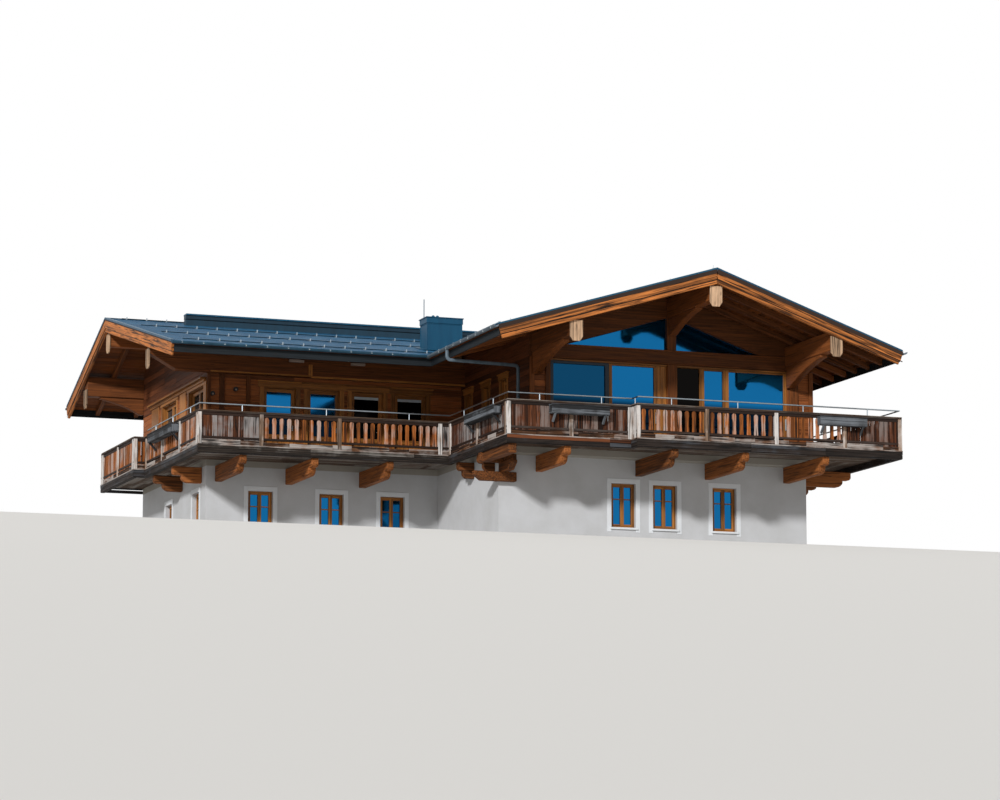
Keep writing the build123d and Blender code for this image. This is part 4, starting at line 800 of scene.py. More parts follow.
class CHALET_OT_roof_trim(bpy.types.Operator):
    """Ridge, hip and verge caps, snow guard, gutter straps, chimney and upstand"""

    bl_idname = "chalet.roof_trim"
    bl_label = "Roof trim"

    def execute(self, context):
        ma, mb, mf, ml = XA - LIP, XB + LIP, YF - LIP, XL - LIP
        md = YD + LIP * (YD - YR) / (XB - XR)
        mc = YC - LIP * (YR - YC) / (XR - XA)
        self.caps(ma, mb, mc, md, mf, ml)
        self.gutters(ma, mb, mc, md, mf, ml)
        self.chimney()
        self.upstand()
        return {"FINISHED"}

    def caps(self, ma, mb, mc, md, mf, ml):
        west_up, east_up = (-SLOPE_WEST, 0, 1), (SLOPE_EAST, 0, 1)
        front_up, back_up = (0, -SLOPE_FRONT, 1), (0, SLOPE_BACK, 1)
        top = COVERING + 0.006
        places, bands = [], []
        for up, off in ((west_up, -0.08), (east_up, 0.08)):
            z = roof_x(XR + off) + top
            places.append(bar((XR + off, mf, z), (XR + off, YR, z), 0.17, 0.012, up))
        for up, off in ((front_up, -0.08), (back_up, 0.08)):
            z = roof_y(YR + off) + top
            places.append(bar((ml, YR + off, z), (XR, YR + off, z), 0.17, 0.012, up))
        turn = Vector((md - YR, XR - mb, 0)).normalized() * 0.08
        for up, off in ((east_up, turn), (back_up, -turn)):
            start, end = Vector((XR, YR, 0)) + off, Vector((mb, md, 0)) + off
            start.z = (roof_x(start.x) if up is east_up else roof_y(start.y)) + top
            end.z = (roof_x(min(end.x, mb)) if up is east_up else roof_y(end.y)) + top
            places.append(bar(start + (end - start) * 0.01, end - (end - start) * 0.015, 0.17, 0.012, up))
        # Top flap and rim of each verge, and the dark bands below the rim and the verge board: painted shade
        # under the rim and a painted shadow line in the joint
        for wing, eaves, rim, board, z, height in (
            ("front", ((ma, west_up), (mb, east_up)), mf, YF, -0.018, 0.12),
            ("side", ((mc, front_up), (md, back_up)), ml, XL, 0.012, 0.036),
        ):
            for eave, up in eaves:
                places.append(verge(wing, eave, rim + 0.055, top, 0.11, 0.01, up))
                places.append(verge(wing, eave, rim + 0.005, 0.066, 0.01, 0.045, up))
                bands.append(verge(wing, eave, rim + 0.006, z, 0.008, height, up))
                bands.append(verge(wing, eave, board - 0.003, -0.267, 0.008, 0.028, up))
        # Rod at the front end of the ridge
        y = mf + 0.3
        tip = unite([
            rod((XR, y, RIDGE + 0.05), (XR, y, RIDGE + 0.215), 0.008),
            rod((XR, y, RIDGE + 0.08), (XR, y, RIDGE + 0.13), 0.03, 12),
        ])
        groups = ((places, 0.003, "cap"), (bands, 0.001, "band_sheet"), (tip, 0, "zinc"))
        compose("ridge_and_verge_caps", "roof_metal", groups)

    def gutters(self, ma, mb, mc, md, mf, ml):
        step = sizes().shingle
        x, y = ma + 0.13, mf + 0.4
        z = roof_x(x)
        pipe = rod((x, mf + 0.25, z + 0.125), (x, mc + 0.35, z + 0.125), 0.016)
        posts = []
        while y < mc:
            posts.append(bar((x, y, z + 0.07), (x, y, z + 0.15), 0.03, 0.012, (0, 1, 0)))
            posts.append(bar((x - 0.03, y, z + 0.082), (x + 0.25, y, roof_x(x + 0.25) + 0.082), 0.03, 0.01))
            y += step
        guard = unite([pipe, lay(posts, 0.002)])
        compose("snow_guard", "gutter_metal", ((guard, 0, "zinc"),))
        coat_nodes("gutter", "gutters_front_wing")
        coat_nodes("teal_gutter", "gutters_side_wing")
        # Straps over the gutters, a shingle apart, as starts and ends outward of the eave and above it
        west = ((-0.155, 0, 0.06, 0.015), (-0.151, 0, -0.151, -0.09))
        front = ((-0.155, 0, 0.06, 0.01), (-0.151, 0, -0.151, -0.05))
        far = ((-0.06, 0.01, 0.155, 0),)
        places = []
        for upright, eave, start, end, height, straps in (
            ((1, 0, 0), ma, mf, mc, roof_x(ma), west),
            ((1, 0, 0), mb, mf, md, roof_x(mb), far),
            ((0, 1, 0), mc, ml, ma, roof_y(mc), front),
            ((0, 1, 0), md, ml, mb, roof_y(md), far),
        ):
            for k in range(int((end - start - 0.5) / step)):
                s = start + 0.3 + k * step
                for off0, z0, off1, z1 in straps:
                    ends = [
                        ((eave + off, s) if upright[0] else (s, eave + off)) + (height + 0.04 + z,)
                        for off, z in ((off0, z0), (off1, z1))
                    ]
                    places.append(bar(*ends, 0.035, 0.008, upright if off0 == off1 else UP))
        compose("gutter_brackets", "gutter_metal", ((places, 0.001, "zinc"),))

    def chimney(self):
        low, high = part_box("chimney")
        head = high.z - CHIMNEY_ROD
        shaft = dress("chimney", edge=0.006)
        places = [
            box((low.x - 0.02, low.y - 0.02, head), (high.x + 0.02, high.y + 0.02, head + 0.03)),
            box((low.x + 0.02, low.y + 0.02, head - 0.2), (high.x - 0.02, high.y - 0.02, head - 0.17)),
        ]
        for x in (low.x + 0.03, high.x - 0.03):
            for y in (low.y + 0.03, high.y - 0.03):
                places.append(box((x - 0.012, y - 0.012, low.z), (x + 0.012, y + 0.012, head - 0.17)))
        apron = 0.16
        for x0, x1, y0, y1 in (
            (low.x - apron, high.x + apron, low.y - apron, low.y + 0.03),
            (low.x - apron, low.x + 0.03, low.y, high.y),
            (high.x - 0.03, high.x + apron, low.y, high.y),
            (low.x - apron, high.x + apron, high.y - 0.03, high.y + apron),
        ):
            ends = [((x0 + x1) / 2, y, roof_y(y) + 0.09) for y in (y0, y1)]
            places.append(bar(*ends, x1 - x0, 0.012, (0, -SLOPE_FRONT, 1)))
        pieces = [shaft, lay(places, 0.003)]
        # Two domed caps on short necks
        for x in (low.x + 0.28, low.x + 0.42):
            bpy.ops.object.select_all(action="DESELECT")
            bpy.ops.mesh.primitive_uv_sphere_add(segments=16, ring_count=8, radius=0.06)
            dome = bpy.context.object
            dome.data.transform(Matrix.Translation((x, low.y + 0.2, head + 0.05)))
            pieces += [dome, rod((x, low.y + 0.2, head), (x, low.y + 0.2, head + 0.05), 0.035)]
        compose("chimney_cladding", "roof_metal", ((unite(pieces), 0, "cap"),), "chimney")

    def upstand(self):
        low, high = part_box("roof_upstand")
        rim = [box((low.x, low.y - 0.04, high.z - 0.05), (high.x, high.y + 0.04, high.z))]
        places = [
            box((low.x, low.y + inset, high.z - drop), (high.x, high.y - inset, high.z - rise))
            for inset, drop, rise in ((0, 0.17, 0.05), (0.04, 0.2, 0.17), (0.01, 0.46, 0.2))
        ]
        x = low.x + 1.9
        while x < high.x:
            places.append(box((x, low.y - 0.01, high.z - 0.17), (x + 0.03, high.y + 0.01, high.z - 0.05)))
            x += 2.0
        # Rim in the teal of the caps, the body below it in the near-black sheet: painted shade under the rim
        groups = ((places, 0.004, "upstand"), (rim, 0.004, "cap"))
        compose("upstand_cladding", "roof_metal", groups, "roof_upstand")


class CHALET_OT_soffit(bpy.types.Operator):
    """Planks of the roof underside, laid along each eave"""

    bl_idname = "chalet.soffit"
    bl_label = "Roof underside"

    def execute(self, context):
        width, joint, long = sizes().plank, sizes().gap, 4
        for number, side in enumerate(SLOPES):
            rows = []
            for k in (0, 1):
                x, y = k * long / 2, k * width
                rows.append(box((x - long, y, -SHEATHING), (x - joint, y + width - joint, 0)))
            planks = cover(side, 0, lay(rows, 0.008), long, 2 * width)
            groups = ((planks, 0, "soffit"),)
            compose(f"underside_{side}", "dark_timber", groups, f"boards_{side}", seed=number + 11)
        return {"FINISHED"}


class CHALET_OT_roof_timbers(bpy.types.Operator):
    """Rafters, purlins, corbels, verge boards and end boards with eased edges"""

    bl_idname = "chalet.roof_timbers"
    bl_label = "Roof timbers"

    def execute(self, context):
        for name, edge, finish, slot, *nodes in (
            ("rafters", 0.012, "beam", "dark_timber", "rafters_front_wing", "rafters_side_wing"),
            ("purlins", 0.016, "beam", "dark_timber", "ridge_purlin", "side_ridge_purlin", "eave_purlins"),
            ("corbels", 0.014, "beam", "dark_timber", "corbel_timbers"),
            # The eave boards take the nearly black finish: painted shade below the gutter
            ("eave_trim", 0.006, "fascia", "barge_timber", "eave_boards_front_wing", "eave_boards_side_wing"),
            ("end_boards", 0.008, "end", "pale_timber", "purlin_end_boards"),
        ):
            compose(name, slot, ((dress(*nodes, edge=edge), 0, finish),), *nodes, seed=len(name))
        lower = dress("bargeboards", edge=0.008)
        places = []
        for wing, board, eaves, z, height in (
            ("front", YF, (XA, XB), -0.165, 0.175),
            ("side", XL, (YC, YD), -0.128, 0.25),
        ):
            for eave, inward in zip(eaves, (0.09, -0.09)):
                places.append(verge(wing, eave, board - 0.012, z, 0.036, height))
                places.append(verge(wing, eave + inward, board - 0.004, -0.375, 0.03, 0.035))
        boards = unite([lower, lay(places, 0.005)])
        compose("verge_boards", "barge_timber", ((boards, 0, "barge"),), "bargeboards", seed=5)
        return {"FINISHED"}


class CHALET_OT_cladding(bpy.types.Operator):
    """Horizontal boards on the upper walls, cut round the openings"""

    bl_idname = "chalet.cladding"
    bl_label = "Wall boards"

    def execute(self, context):
        under = RIDGE - SHEATHING
        front = ((0, YR, under), Vector((0, -SLOPE_FRONT, 1)).normalized())
        back = ((0, YR, under), Vector((0, SLOPE_BACK, 1)).normalized())
        east = ((XR, 0, under), Vector((SLOPE_EAST, 0, 1)).normalized())
        # Wall, length, top of the boards, height above which the boards take the painted shade of the eaves,
        # roof planes to cut by
        for number, (name, wall, span, top, painted_shade_above, planes) in enumerate((
            ("side_front", SIDE_FRONT, -X_SIDE, 6.04, RIDGE, ()),
            ("side_gable", SIDE_GABLE, Y_BACK, RIDGE, 5.7, (front, back)),
            ("west", WEST, -Y_FRONT, roof_x(0) - SHEATHING, FLOOR, ()),
            ("east", EAST, Y_BACK - Y_FRONT, roof_x(X_EAST) - SHEATHING, RIDGE, ()),
            ("back", BACK, X_EAST - X_SIDE, roof_y(Y_BACK) - SHEATHING, RIDGE, (east,)),
        )):
            # Boards above that height get the deeper brown of painted shade; on the west wall all of them do
            groups = {"wall": [], "dark_wall": []}
            for place in self.courses(random.Random(number), wall, span, top):
                groups["wall" if place.translation.z < painted_shade_above else "dark_wall"].append(place)
            look = finishes()
            parts = [coat(lay(group, 0.004), look[finish]) for finish, group in groups.items() if group]
            piece = unite(parts)
            for plane in planes:
                trim(piece, *plane)
            settle(piece, f"cladding_{name}", "dark_timber", seed=number + 30)
        return {"FINISHED"}

    def courses(self, luck, wall, stop, top):
        """Places of the boards of one wall, course by course."""
        holes = [(s - w / 2, s + w / 2, z0, z1) for side, s, w, z0, z1 in UPPER_OPENINGS if side is wall]
        places = []
        foot = FLOOR
        while foot < top - 0.03:
            head = min(foot + sizes().board, top)
            steps = {z for hole in holes for z in hole[2:] if foot + 0.02 < z < head - 0.02}
            levels = [foot, *sorted(steps), head]
            for z0, z1 in zip(levels, levels[1:]):
                spans, start = [], 0.0
                for h0, h1, low, high in sorted(holes):
                    if low < z1 - 0.01 and high > z0 + 0.01:
                        spans.append((start, h0))
                        start = h1
                spans.append((start, stop))
                for span in spans:
                    for s0, s1 in cuts_of(luck, *span, 2.6, 4.6, 0.8):
                        proud = 0.022 + luck.uniform(-0.003, 0.003)
                        places.append(slab(wall, s0 + 0.001, s1 - 0.002, z0, z1 - sizes().gap, 0, proud))
            foot += sizes().board
        return places


def ring(wall, s, width, z0, z1, bar_width, d0, d1, foot=None):
    """Places of two stiles and two rails round an opening; foot is the height of the lower rail."""
    foot = bar_width if foot is None else foot
    s0, s1 = s - width / 2, s + width / 2
    return slabs(
        wall,
        (s0, s0 + bar_width, z0, z1, d0, d1),
        (s1 - bar_width, s1, z0, z1, d0, d1),
        (s0 + bar_width, s1 - bar_width, z1 - bar_width, z1, d0, d1),
        (s0 + bar_width, s1 - bar_width, z0, z0 + foot, d0, d1),
    )


class CHALET_OT_openings(bpy.types.Operator):
    """Casings, frames, sashes and handles of the upper windows and doors"""

    bl_idname = "chalet.openings"
    bl_label = "Upper openings"

    def execute(self, context):
        casings, frames, handles, panes = [], [], [], []
        for wall, s, width, z0, z1 in UPPER_OPENINGS:
            door = z0 < FLOOR + 0.1
            s0, s1 = s - width / 2, s + width / 2
            casings += self.casing(wall, s0, s1, z0, z1, 0.09 if width < 0.7 else sizes().casing, door)
            frames += ring(wall, s, width, z0, z1, 0.06, -0.195, -0.105)
            leaves = 2 if width > 1.5 else 1
            leaf = (width - 0.1) / leaves
            for k in range(leaves):
                middle = s0 + 0.05 + leaf * (k + 0.5)
                left, right = middle - leaf / 2 + 0.08, middle + leaf / 2 - 0.08
                foot = 0.14 if door else 0.085
                frames += ring(wall, middle, leaf - 0.008, z0 + 0.05, z1 - 0.05, 0.085, -0.19, -0.085, foot)
                if door:
                    # Middle rail and boarded panel in the lower third of a door leaf
                    frames += slabs(wall, (left, right, z0 + 0.72, z0 + 0.84, -0.19, -0.085))
                    board = (leaf - 0.16) / 4
                    for start in (left, left + board, left + 2 * board, left + 3 * board):
                        stop = start + board - 0.004
                        frames += slabs(wall, (start, stop, z0 + 0.19, z0 + 0.72, -0.16, -0.115))
                    foot = 0.76
                foot += z0 + 0.04
                panes += slabs(wall, (left - 0.01, right + 0.01, foot, z1 - 0.12, -0.162, -0.138))
                # Handle on the closing side: its plate, lever and neck
                edge = middle + (leaf / 2 - 0.05) * (-1 if k == 1 else 1)
                inward = edge + (0.12 if k == 1 else -0.12)
                z = FLOOR + 1.05 if door else (z0 + z1) / 2
                handles += slabs(
                    wall,
                    (edge - 0.015, edge + 0.015, z - 0.08, z + 0.08, -0.085, -0.075),
                    (min(edge, inward), max(edge, inward), z - 0.01, z + 0.01, -0.05, -0.03),
                    (edge - 0.01, edge + 0.01, z - 0.01, z + 0.01, -0.085, -0.03),
                )
        # Blind rails at the head of the two doors next to the front wing, which stand before a dark room
        for wall, s, width, z0, z1 in UPPER_OPENINGS[2:4]:
            half = width / 2 - 0.135
            handles += slabs(wall, (s - half, s + half, z1 - 0.22, z1 - 0.135, -0.14, -0.12))
        compose("upper_casings", "frame_timber", ((casings, 0.005, "frame"),), seed=41)
        compose("upper_sashes", "frame_timber", ((frames, 0.005, "frame"),), "upper_frames", seed=42)
        compose("upper_handles", "gutter_metal", ((handles, 0.003, "zinc"),), seed=43)
        # The two doors before the dark room take the glass painted near black: painted shade
        groups = ((panes[:2] + panes[4:], 0, "glass"), (panes[2:4], 0, "dark_glass"))
        compose("upper_panes", "glazing", groups, "upper_glass", seed=44)
        return {"FINISHED"}

    def casing(self, wall, s0, s1, z0, z1, side, door):
        """Side casings, head board and its cap, sill of a window, and the lining of the reveal."""
        places = slabs(
            wall,
            (s0 - side, s0 + 0.02, z0, z1 + 0.02, 0, 0.042),
            (s1 - 0.02, s1 + side, z0, z1 + 0.02, 0, 0.042),
            (s0 - side - 0.06, s1 + side + 0.06, z1, z1 + 0.16, 0, 0.052),
            (s0 - side - 0.09, s1 + side + 0.09, z1 + 0.16, z1 + 0.2, 0, 0.085),
        )
        if not door:
            places += slabs(wall, (s0 - side - 0.03, s1 + side + 0.03, z0 - 0.06, z0, -0.1, 0.07))
        return places + slabs(
            wall,
            (s0, s0 + 0.02, z0, z1, -0.11, 0),
            (s1 - 0.02, s1, z0, z1, -0.11, 0),
            (s0 + 0.02, s1 - 0.02, z1 - 0.02, z1, -0.11, 0),
        )


class CHALET_OT_facade(bpy.types.Operator):
    """Glazed gable front: posts, beams, sliding leaves and the boards beside them"""

    bl_idname = "chalet.facade"
    bl_label = "Gable front"

    def execute(self, context):
        timbers = ((dress("facade_posts", edge=0.012), 0, "beam"),)
        compose("facade_timbers", "dark_timber", timbers, "facade_posts", seed=51)
        beams = ((dress("tie_beam", "gable_plates", edge=0.014), 0, "beam"),)
        compose("gable_beams", "dark_timber", beams, "tie_beam", "gable_plates", seed=52)
        row, joint = sizes().board, sizes().gap
        boards, posts = [], []
        for s0, s1 in ((0.14, 0.5), (8.87, 9.23)):
            z = FLOOR
            while z < BEAM_LOW - 0.03:
                boards += slabs(FACADE, (s0, s1, z, min(z + row, BEAM_LOW) - joint, 0, 0.022))
                z += row
        for s0, s1 in ((0, 0.14), (0.5, 0.66), (8.56, 8.87), (9.23, 9.37)):
            posts += slabs(FACADE, (s0, s1, FLOOR, BEAM_LOW, 0, 0.07))
        posts += slabs(
            FACADE,
            (XR - 0.15, XR + 0.15, FLOOR, BEAM_LOW, 0, 0.03),
            (0, X_EAST, BEAM_LOW + 0.02, BEAM_LOW + 0.06, 0, 0.03),
            (0, X_EAST, BEAM_TOP - 0.05, BEAM_TOP, 0, 0.035),
        )
        groups = ((boards, 0.004, "wall"), (posts, 0.008, "beam"))
        compose("facade_boards", "dark_timber", groups, seed=53)

        # Leaves as start, end and width of their bars; the first one is of metal, the rest of wood
        rings, handles, panes = [], [], []
        for s0, s1, side in (
            (0.68, 2.62, 0.13),
            (2.62, 4.2, 0.1),
            (4.81, 5.67, 0.06),
            (5.67, 6.49, 0.1),
            (6.49, 8.54, 0.1),
        ):
            rings.append(ring(FACADE, (s0 + s1) / 2, s1 - s0, FLOOR, BEAM_LOW, side, -0.2, -0.09, 0.12))
            lock = s1 - side / 2
            handles += slabs(FACADE, (lock - 0.012, lock + 0.012, 4.25, 4.6, -0.09, -0.045))
            panes += slabs(FACADE, (s0 + side, s1 - side, FLOOR + 0.1, BEAM_LOW - side, -0.162, -0.138))
        wood = sum(rings[1:], []) + slabs(
            FACADE,
            (4.2, 4.51, FLOOR, BEAM_LOW, -0.19, -0.1),
            (4.3, 4.4, FLOOR, BEAM_LOW, -0.1, -0.08),
            (0.68, 4.51, BEAM_LOW - 0.05, BEAM_LOW, -0.1, -0.03),
            (4.81, 8.54, BEAM_LOW - 0.05, BEAM_LOW, -0.1, -0.03),
        )
        sill = (FLOOR, FLOOR + 0.04, -0.22, 0)
        metal = rings[0] + slabs(FACADE, (0.68, 4.51, *sill), (4.81, 8.54, *sill))
        groups = ((wood, 0.005, "frame"), (metal, 0.004, "alu"), (handles, 0.003, "zinc"))
        compose("sliding_leaves", "frame_timber", groups, "sliding_frames", seed=54)
        # The third leaf takes the glass painted near black: painted shade
        deep, second, dark, fourth, fifth = panes
        groups = (
            ([second, fourth, fifth], 0, "glass"),
            ([deep], 0.001, "deep_glass"),
            ([dark], 0.001, "dark_glass"),
        )
        compose("sliding_panes", "glazing", groups, "sliding_glass", seed=55)
        coat_nodes("glass", "gable_glass")
        return {"FINISHED"}


def baluster():
    """One upright of an open railing bay: a waisted plank with a rounded head and a tenon, from 0 up."""
    last = 0.13
    made = lay([box((-last / 2, -0.016, 0), (last / 2, 0.016, 0.02))], 0)
    pick(made, "FACE", lambda face: face.normal.z > 0.5)
    waist = ((0.13, 0.09), (0.114, 0.08), (0.114, 0.24), (0.13, 0.09), (0.13, 0.07))
    head = ((0.124, 0.035), (0.104, 0.02), (0.07, 0.012), (0.07, 0.098))
    for width, rise in waist + head:
        bpy.ops.mesh.extrude_region_move(TRANSFORM_OT_translate={"value": (0, 0, rise)})
        bpy.ops.transform.resize(value=(width / last, 1, 1))
        last = width
    shut()
    return ease(made, 0.006)


class Run:
    """The places of every member of railing runs, gathered run by run."""

    def __init__(self, seed):
        self.luck = random.Random(seed)
        self.rails, self.caps, self.posts, self.skirts, self.boards, self.uprights = [], [], [], [], [], []

    def add(self, start, end, stations, open_bays):
        """Adds one straight run, with posts at shares of its length and the numbers of its open bays."""
        wall, length = wall_between(start, end)
        top, half = FLOOR + 0.98, 0.06
        self.caps += slabs(wall, (0, length, top + 0.042, top + 0.07, -0.135, 0.015))
        self.rails += slabs(
            wall,
            (0, length, top, top + 0.042, -0.118, -0.002),
            (0, length, top - 0.085, top, -0.09, -0.028),
            (0, length, FLOOR + 0.19, FLOOR + 0.26, -0.1, -0.024),
        )
        luck = self.luck
        for s0, s1 in cuts_of(luck, 0, length, 0.5, 1.4, 0.3):
            low, high = luck.uniform(0, 0.02), 0.155 + luck.uniform(-0.03, 0.02)
            self.skirts += slabs(wall, (s0, s1 - 0.004, FLOOR + low, FLOOR + high, -0.08, -0.02 + low / 2))
        stations = [min(max(share * length, half), length - half) for share in stations]
        for s in stations:
            self.posts += slabs(wall, (s - half, s + half, FLOOR, top, -0.12, 0))
        for bay, (s0, s1) in enumerate(zip(stations, stations[1:])):
            s0, s1 = s0 + half, s1 - half
            if s1 - s0 < 0.1:
                continue
            open_bay = bay in open_bays
            count = int((s1 - s0) / 0.22) if open_bay else max(1, round((s1 - s0) / sizes().rail_board))
            pitch = (s1 - s0) / count
            for k in range(count):
                if open_bay:
                    corner, along, out = wall
                    place = corner + along * (s0 + pitch * (k + 0.5)) - out * half + UP * (FLOOR + 0.225)
                    rows = [(*along, 0), (*UP.cross(along), 0), (0, 0, 1, 0), (*place, 1)]
                    self.uprights.append(Matrix(rows).transposed())
                else:
                    proud = luck.uniform(-0.004, 0.004)
                    foot = FLOOR + 0.02 + luck.uniform(0, 0.015)
                    left = s0 + pitch * k + 0.007 + luck.uniform(0, 0.006)
                    right = s0 + pitch * (k + 1) - 0.006
                    self.boards += slabs(wall, (left, right, foot, top - 0.01, -0.076, -0.044 + proud))

    def build(self, name, node, seed, board="rail"):
        """Settles all runs gathered so far as one piece."""
        groups = [
            (self.rails, 0.006, "handrail"),
            (self.caps, 0.006, "deck"),
            (self.posts, 0.007, "post"),
            (self.skirts, 0.005, "skirt"),
        ]
        if self.boards:
            groups.append((self.boards, 0.004, board))
        if self.uprights:
            groups.append((self.uprights, 0, "baluster", baluster))
        compose(name, "weathered_timber", groups, node, seed=seed)


class CHALET_OT_balcony(bpy.types.Operator):
    """Railings, deck planks, edge beams and their facing boards"""

    bl_idname = "chalet.balcony"
    bl_label = "Balcony"

    def execute(self, context):
        self.railings()
        luck = random.Random(66)
        self.planks(luck)
        self.edges(luck)
        coat_nodes("steel", "pipe_rail")
        return {"FINISHED"}

    def railings(self):
        inset, proud = RAIL_INSET, RAIL_PROUD
        # Each run as its start and end, the shares of its length with a post, and its open bays
        gable = (
            (X_SIDE, Y_BACK, DECK_JOG, Y_BACK, (0, 1), ()),
            (DECK_JOG, Y_BACK - inset, DECK_JOG, DECK_JOG_Y + inset, (0, 0.5, 1), ()),
            (DECK_JOG, DECK_JOG_Y, DECK_SIDE + inset, DECK_JOG_Y, (0, 1), ()),
            (DECK_SIDE, DECK_JOG_Y - proud, DECK_SIDE, DECK_LOW_Y + inset, (0, 0.33, 0.67, 1), (0, 1)),
        )
        side = ((DECK_SIDE, DECK_LOW_Y, DECK_WEST + inset, DECK_LOW_Y, (0, 0.245, 0.55, 0.95, 1), (1, 2)),)
        west = ((DECK_WEST, DECK_LOW_Y - proud, DECK_WEST, DECK_FRONT + inset, (0, 0.5, 1), ()),)
        front = (
            (DECK_WEST, DECK_FRONT, DECK_STEP_X + inset, DECK_FRONT, (0, 0.5, 0.96), ()),
            (DECK_STEP_X, DECK_FRONT - proud, DECK_STEP_X, DECK_STEP + inset, (0, 1), ()),
            (DECK_STEP_X, DECK_STEP, DECK_EAST, DECK_STEP, (0, 0.26, 0.52, 0.78, 1), (0, 1, 2)),
        )
        east = (
            (DECK_EAST, DECK_STEP + inset, DECK_EAST, -inset, (0, 0.25, 0.5, 0.75, 1), (1, 2, 3)),
            (DECK_EAST, 0, X_EAST, 0, (0, 1), ()),
        )
        for seed, name, board, runs in (
            # The gable runs face the sun and take the sunlit orange boards: partly painted sunlight
            (61, "side_gable", "baluster", gable),
            (62, "side_front", "rail", side),
            (63, "west", "rail", west),
            (64, "front", "front_rail", front),
            (65, "east", "rail", east),
        ):
            railing = Run(seed)
            for x0, y0, x1, y1, stations, open_bays in runs:
                railing.add((x0, y0), (x1, y1), stations, open_bays)
            railing.build(f"railing_{name}", f"rail_{name}", seed, board)

    def planks(self, luck):
        width, joint = sizes().deck_plank, sizes().gap
        places = []
        for x0, x1, y0, y1, lengthwise in (
            (DECK_SIDE, DECK_WEST, DECK_LOW_Y, 0, True),
            (DECK_SIDE, X_SIDE, 0, DECK_JOG_Y, False),
            (DECK_JOG, X_SIDE, DECK_JOG_Y, Y_BACK, False),
            (DECK_WEST, X_GROUND, DECK_FRONT, 0, False),
            (X_GROUND, DECK_STEP_X, DECK_FRONT, Y_FRONT, True),
            (DECK_STEP_X, DECK_EAST, DECK_STEP, Y_FRONT, True),
            (X_EAST, DECK_EAST, Y_FRONT, 0, False),
        ):
            across = (y1 - y0) if lengthwise else (x1 - x0)
            count = max(1, round(across / width))
            for k in range(count):
                low, high = across * k / count, across * (k + 1) / count - joint
                first, last = (x0, x1) if lengthwise else (y0, y1)
                for start, stop in cuts_of(luck, first, last, 2.8, 4.2, 0.8):
                    if lengthwise:
                        places.append(box((start, y0 + low, FLOOR - 0.06), (stop - 0.004, y0 + high, FLOOR)))
                    else:
                        places.append(box((x0 + low, start, FLOOR - 0.06), (x0 + high, stop - 0.004, FLOOR)))
        compose("deck_planks", "weathered_timber", ((places, 0.004, "deck"),), "balcony_deck", seed=67)

    def edges(self, luck):
        outline = (
            (X_SIDE, Y_BACK),
            (DECK_JOG, Y_BACK),
            (DECK_JOG, DECK_JOG_Y),
            (DECK_SIDE, DECK_JOG_Y),
            (DECK_SIDE, DECK_LOW_Y),
            (DECK_WEST, DECK_LOW_Y),
            (DECK_WEST, DECK_FRONT),
            (DECK_STEP_X, DECK_FRONT),
            (DECK_STEP_X, DECK_STEP),
            (DECK_EAST, DECK_STEP),
            (DECK_EAST, 0),
        )
        places, strips, tips, bleached = [], [], [], []
        for start, end in zip(outline, outline[1:]):
            # The side wing's run is bleached, and the upper boards of the front run keep their red-brown in
            # the deeper brown wall finish, which carries painted shade
            faced = bleached if start[1] == end[1] == DECK_LOW_Y else places
            upper = strips if start[1] == end[1] == DECK_FRONT else faced
            wall, length = wall_between(start, end)
            for s0, s1 in cuts_of(luck, 0, length, 2.4, 4.0, 0.6):
                upper += slabs(wall, (s0, s1 - 0.003, FLOOR - 0.11, FLOOR - 0.012, 0, 0.012))
                faced += slabs(wall, (s0, s1 - 0.003, FLOOR - 0.235, FLOOR - 0.13, 0, 0.006))
                tips += slabs(wall, (s0, s1 - 0.002, FLOOR - 0.018, FLOOR + 0.016, 0, 0.014))
        groups = (
            (dress("edge_beams", edge=0.012), 0, "edge"),
            (strips, 0.004, "dark_wall"),
            (places, 0.004, "edge"),
            (tips, 0.004, "skirt"),
            (bleached, 0.004, "side_edge"),
        )
        compose("edge_timbers", "weathered_timber", groups, "edge_beams", seed=68)


class CHALET_OT_consoles(bpy.types.Operator):
    """Carved consoles and the crossed timbers at the corner, with eased edges"""

    bl_idname = "chalet.consoles"
    bl_label = "Consoles"

    def execute(self, context):
        for seed, name, node in (71, "carved_consoles", "consoles"), (72, "crossed_timbers", "corner_stack"):
            compose(name, "dark_timber", ((dress(node, edge=0.014), 0, "console"),), node, seed=seed)
        return {"FINISHED"}


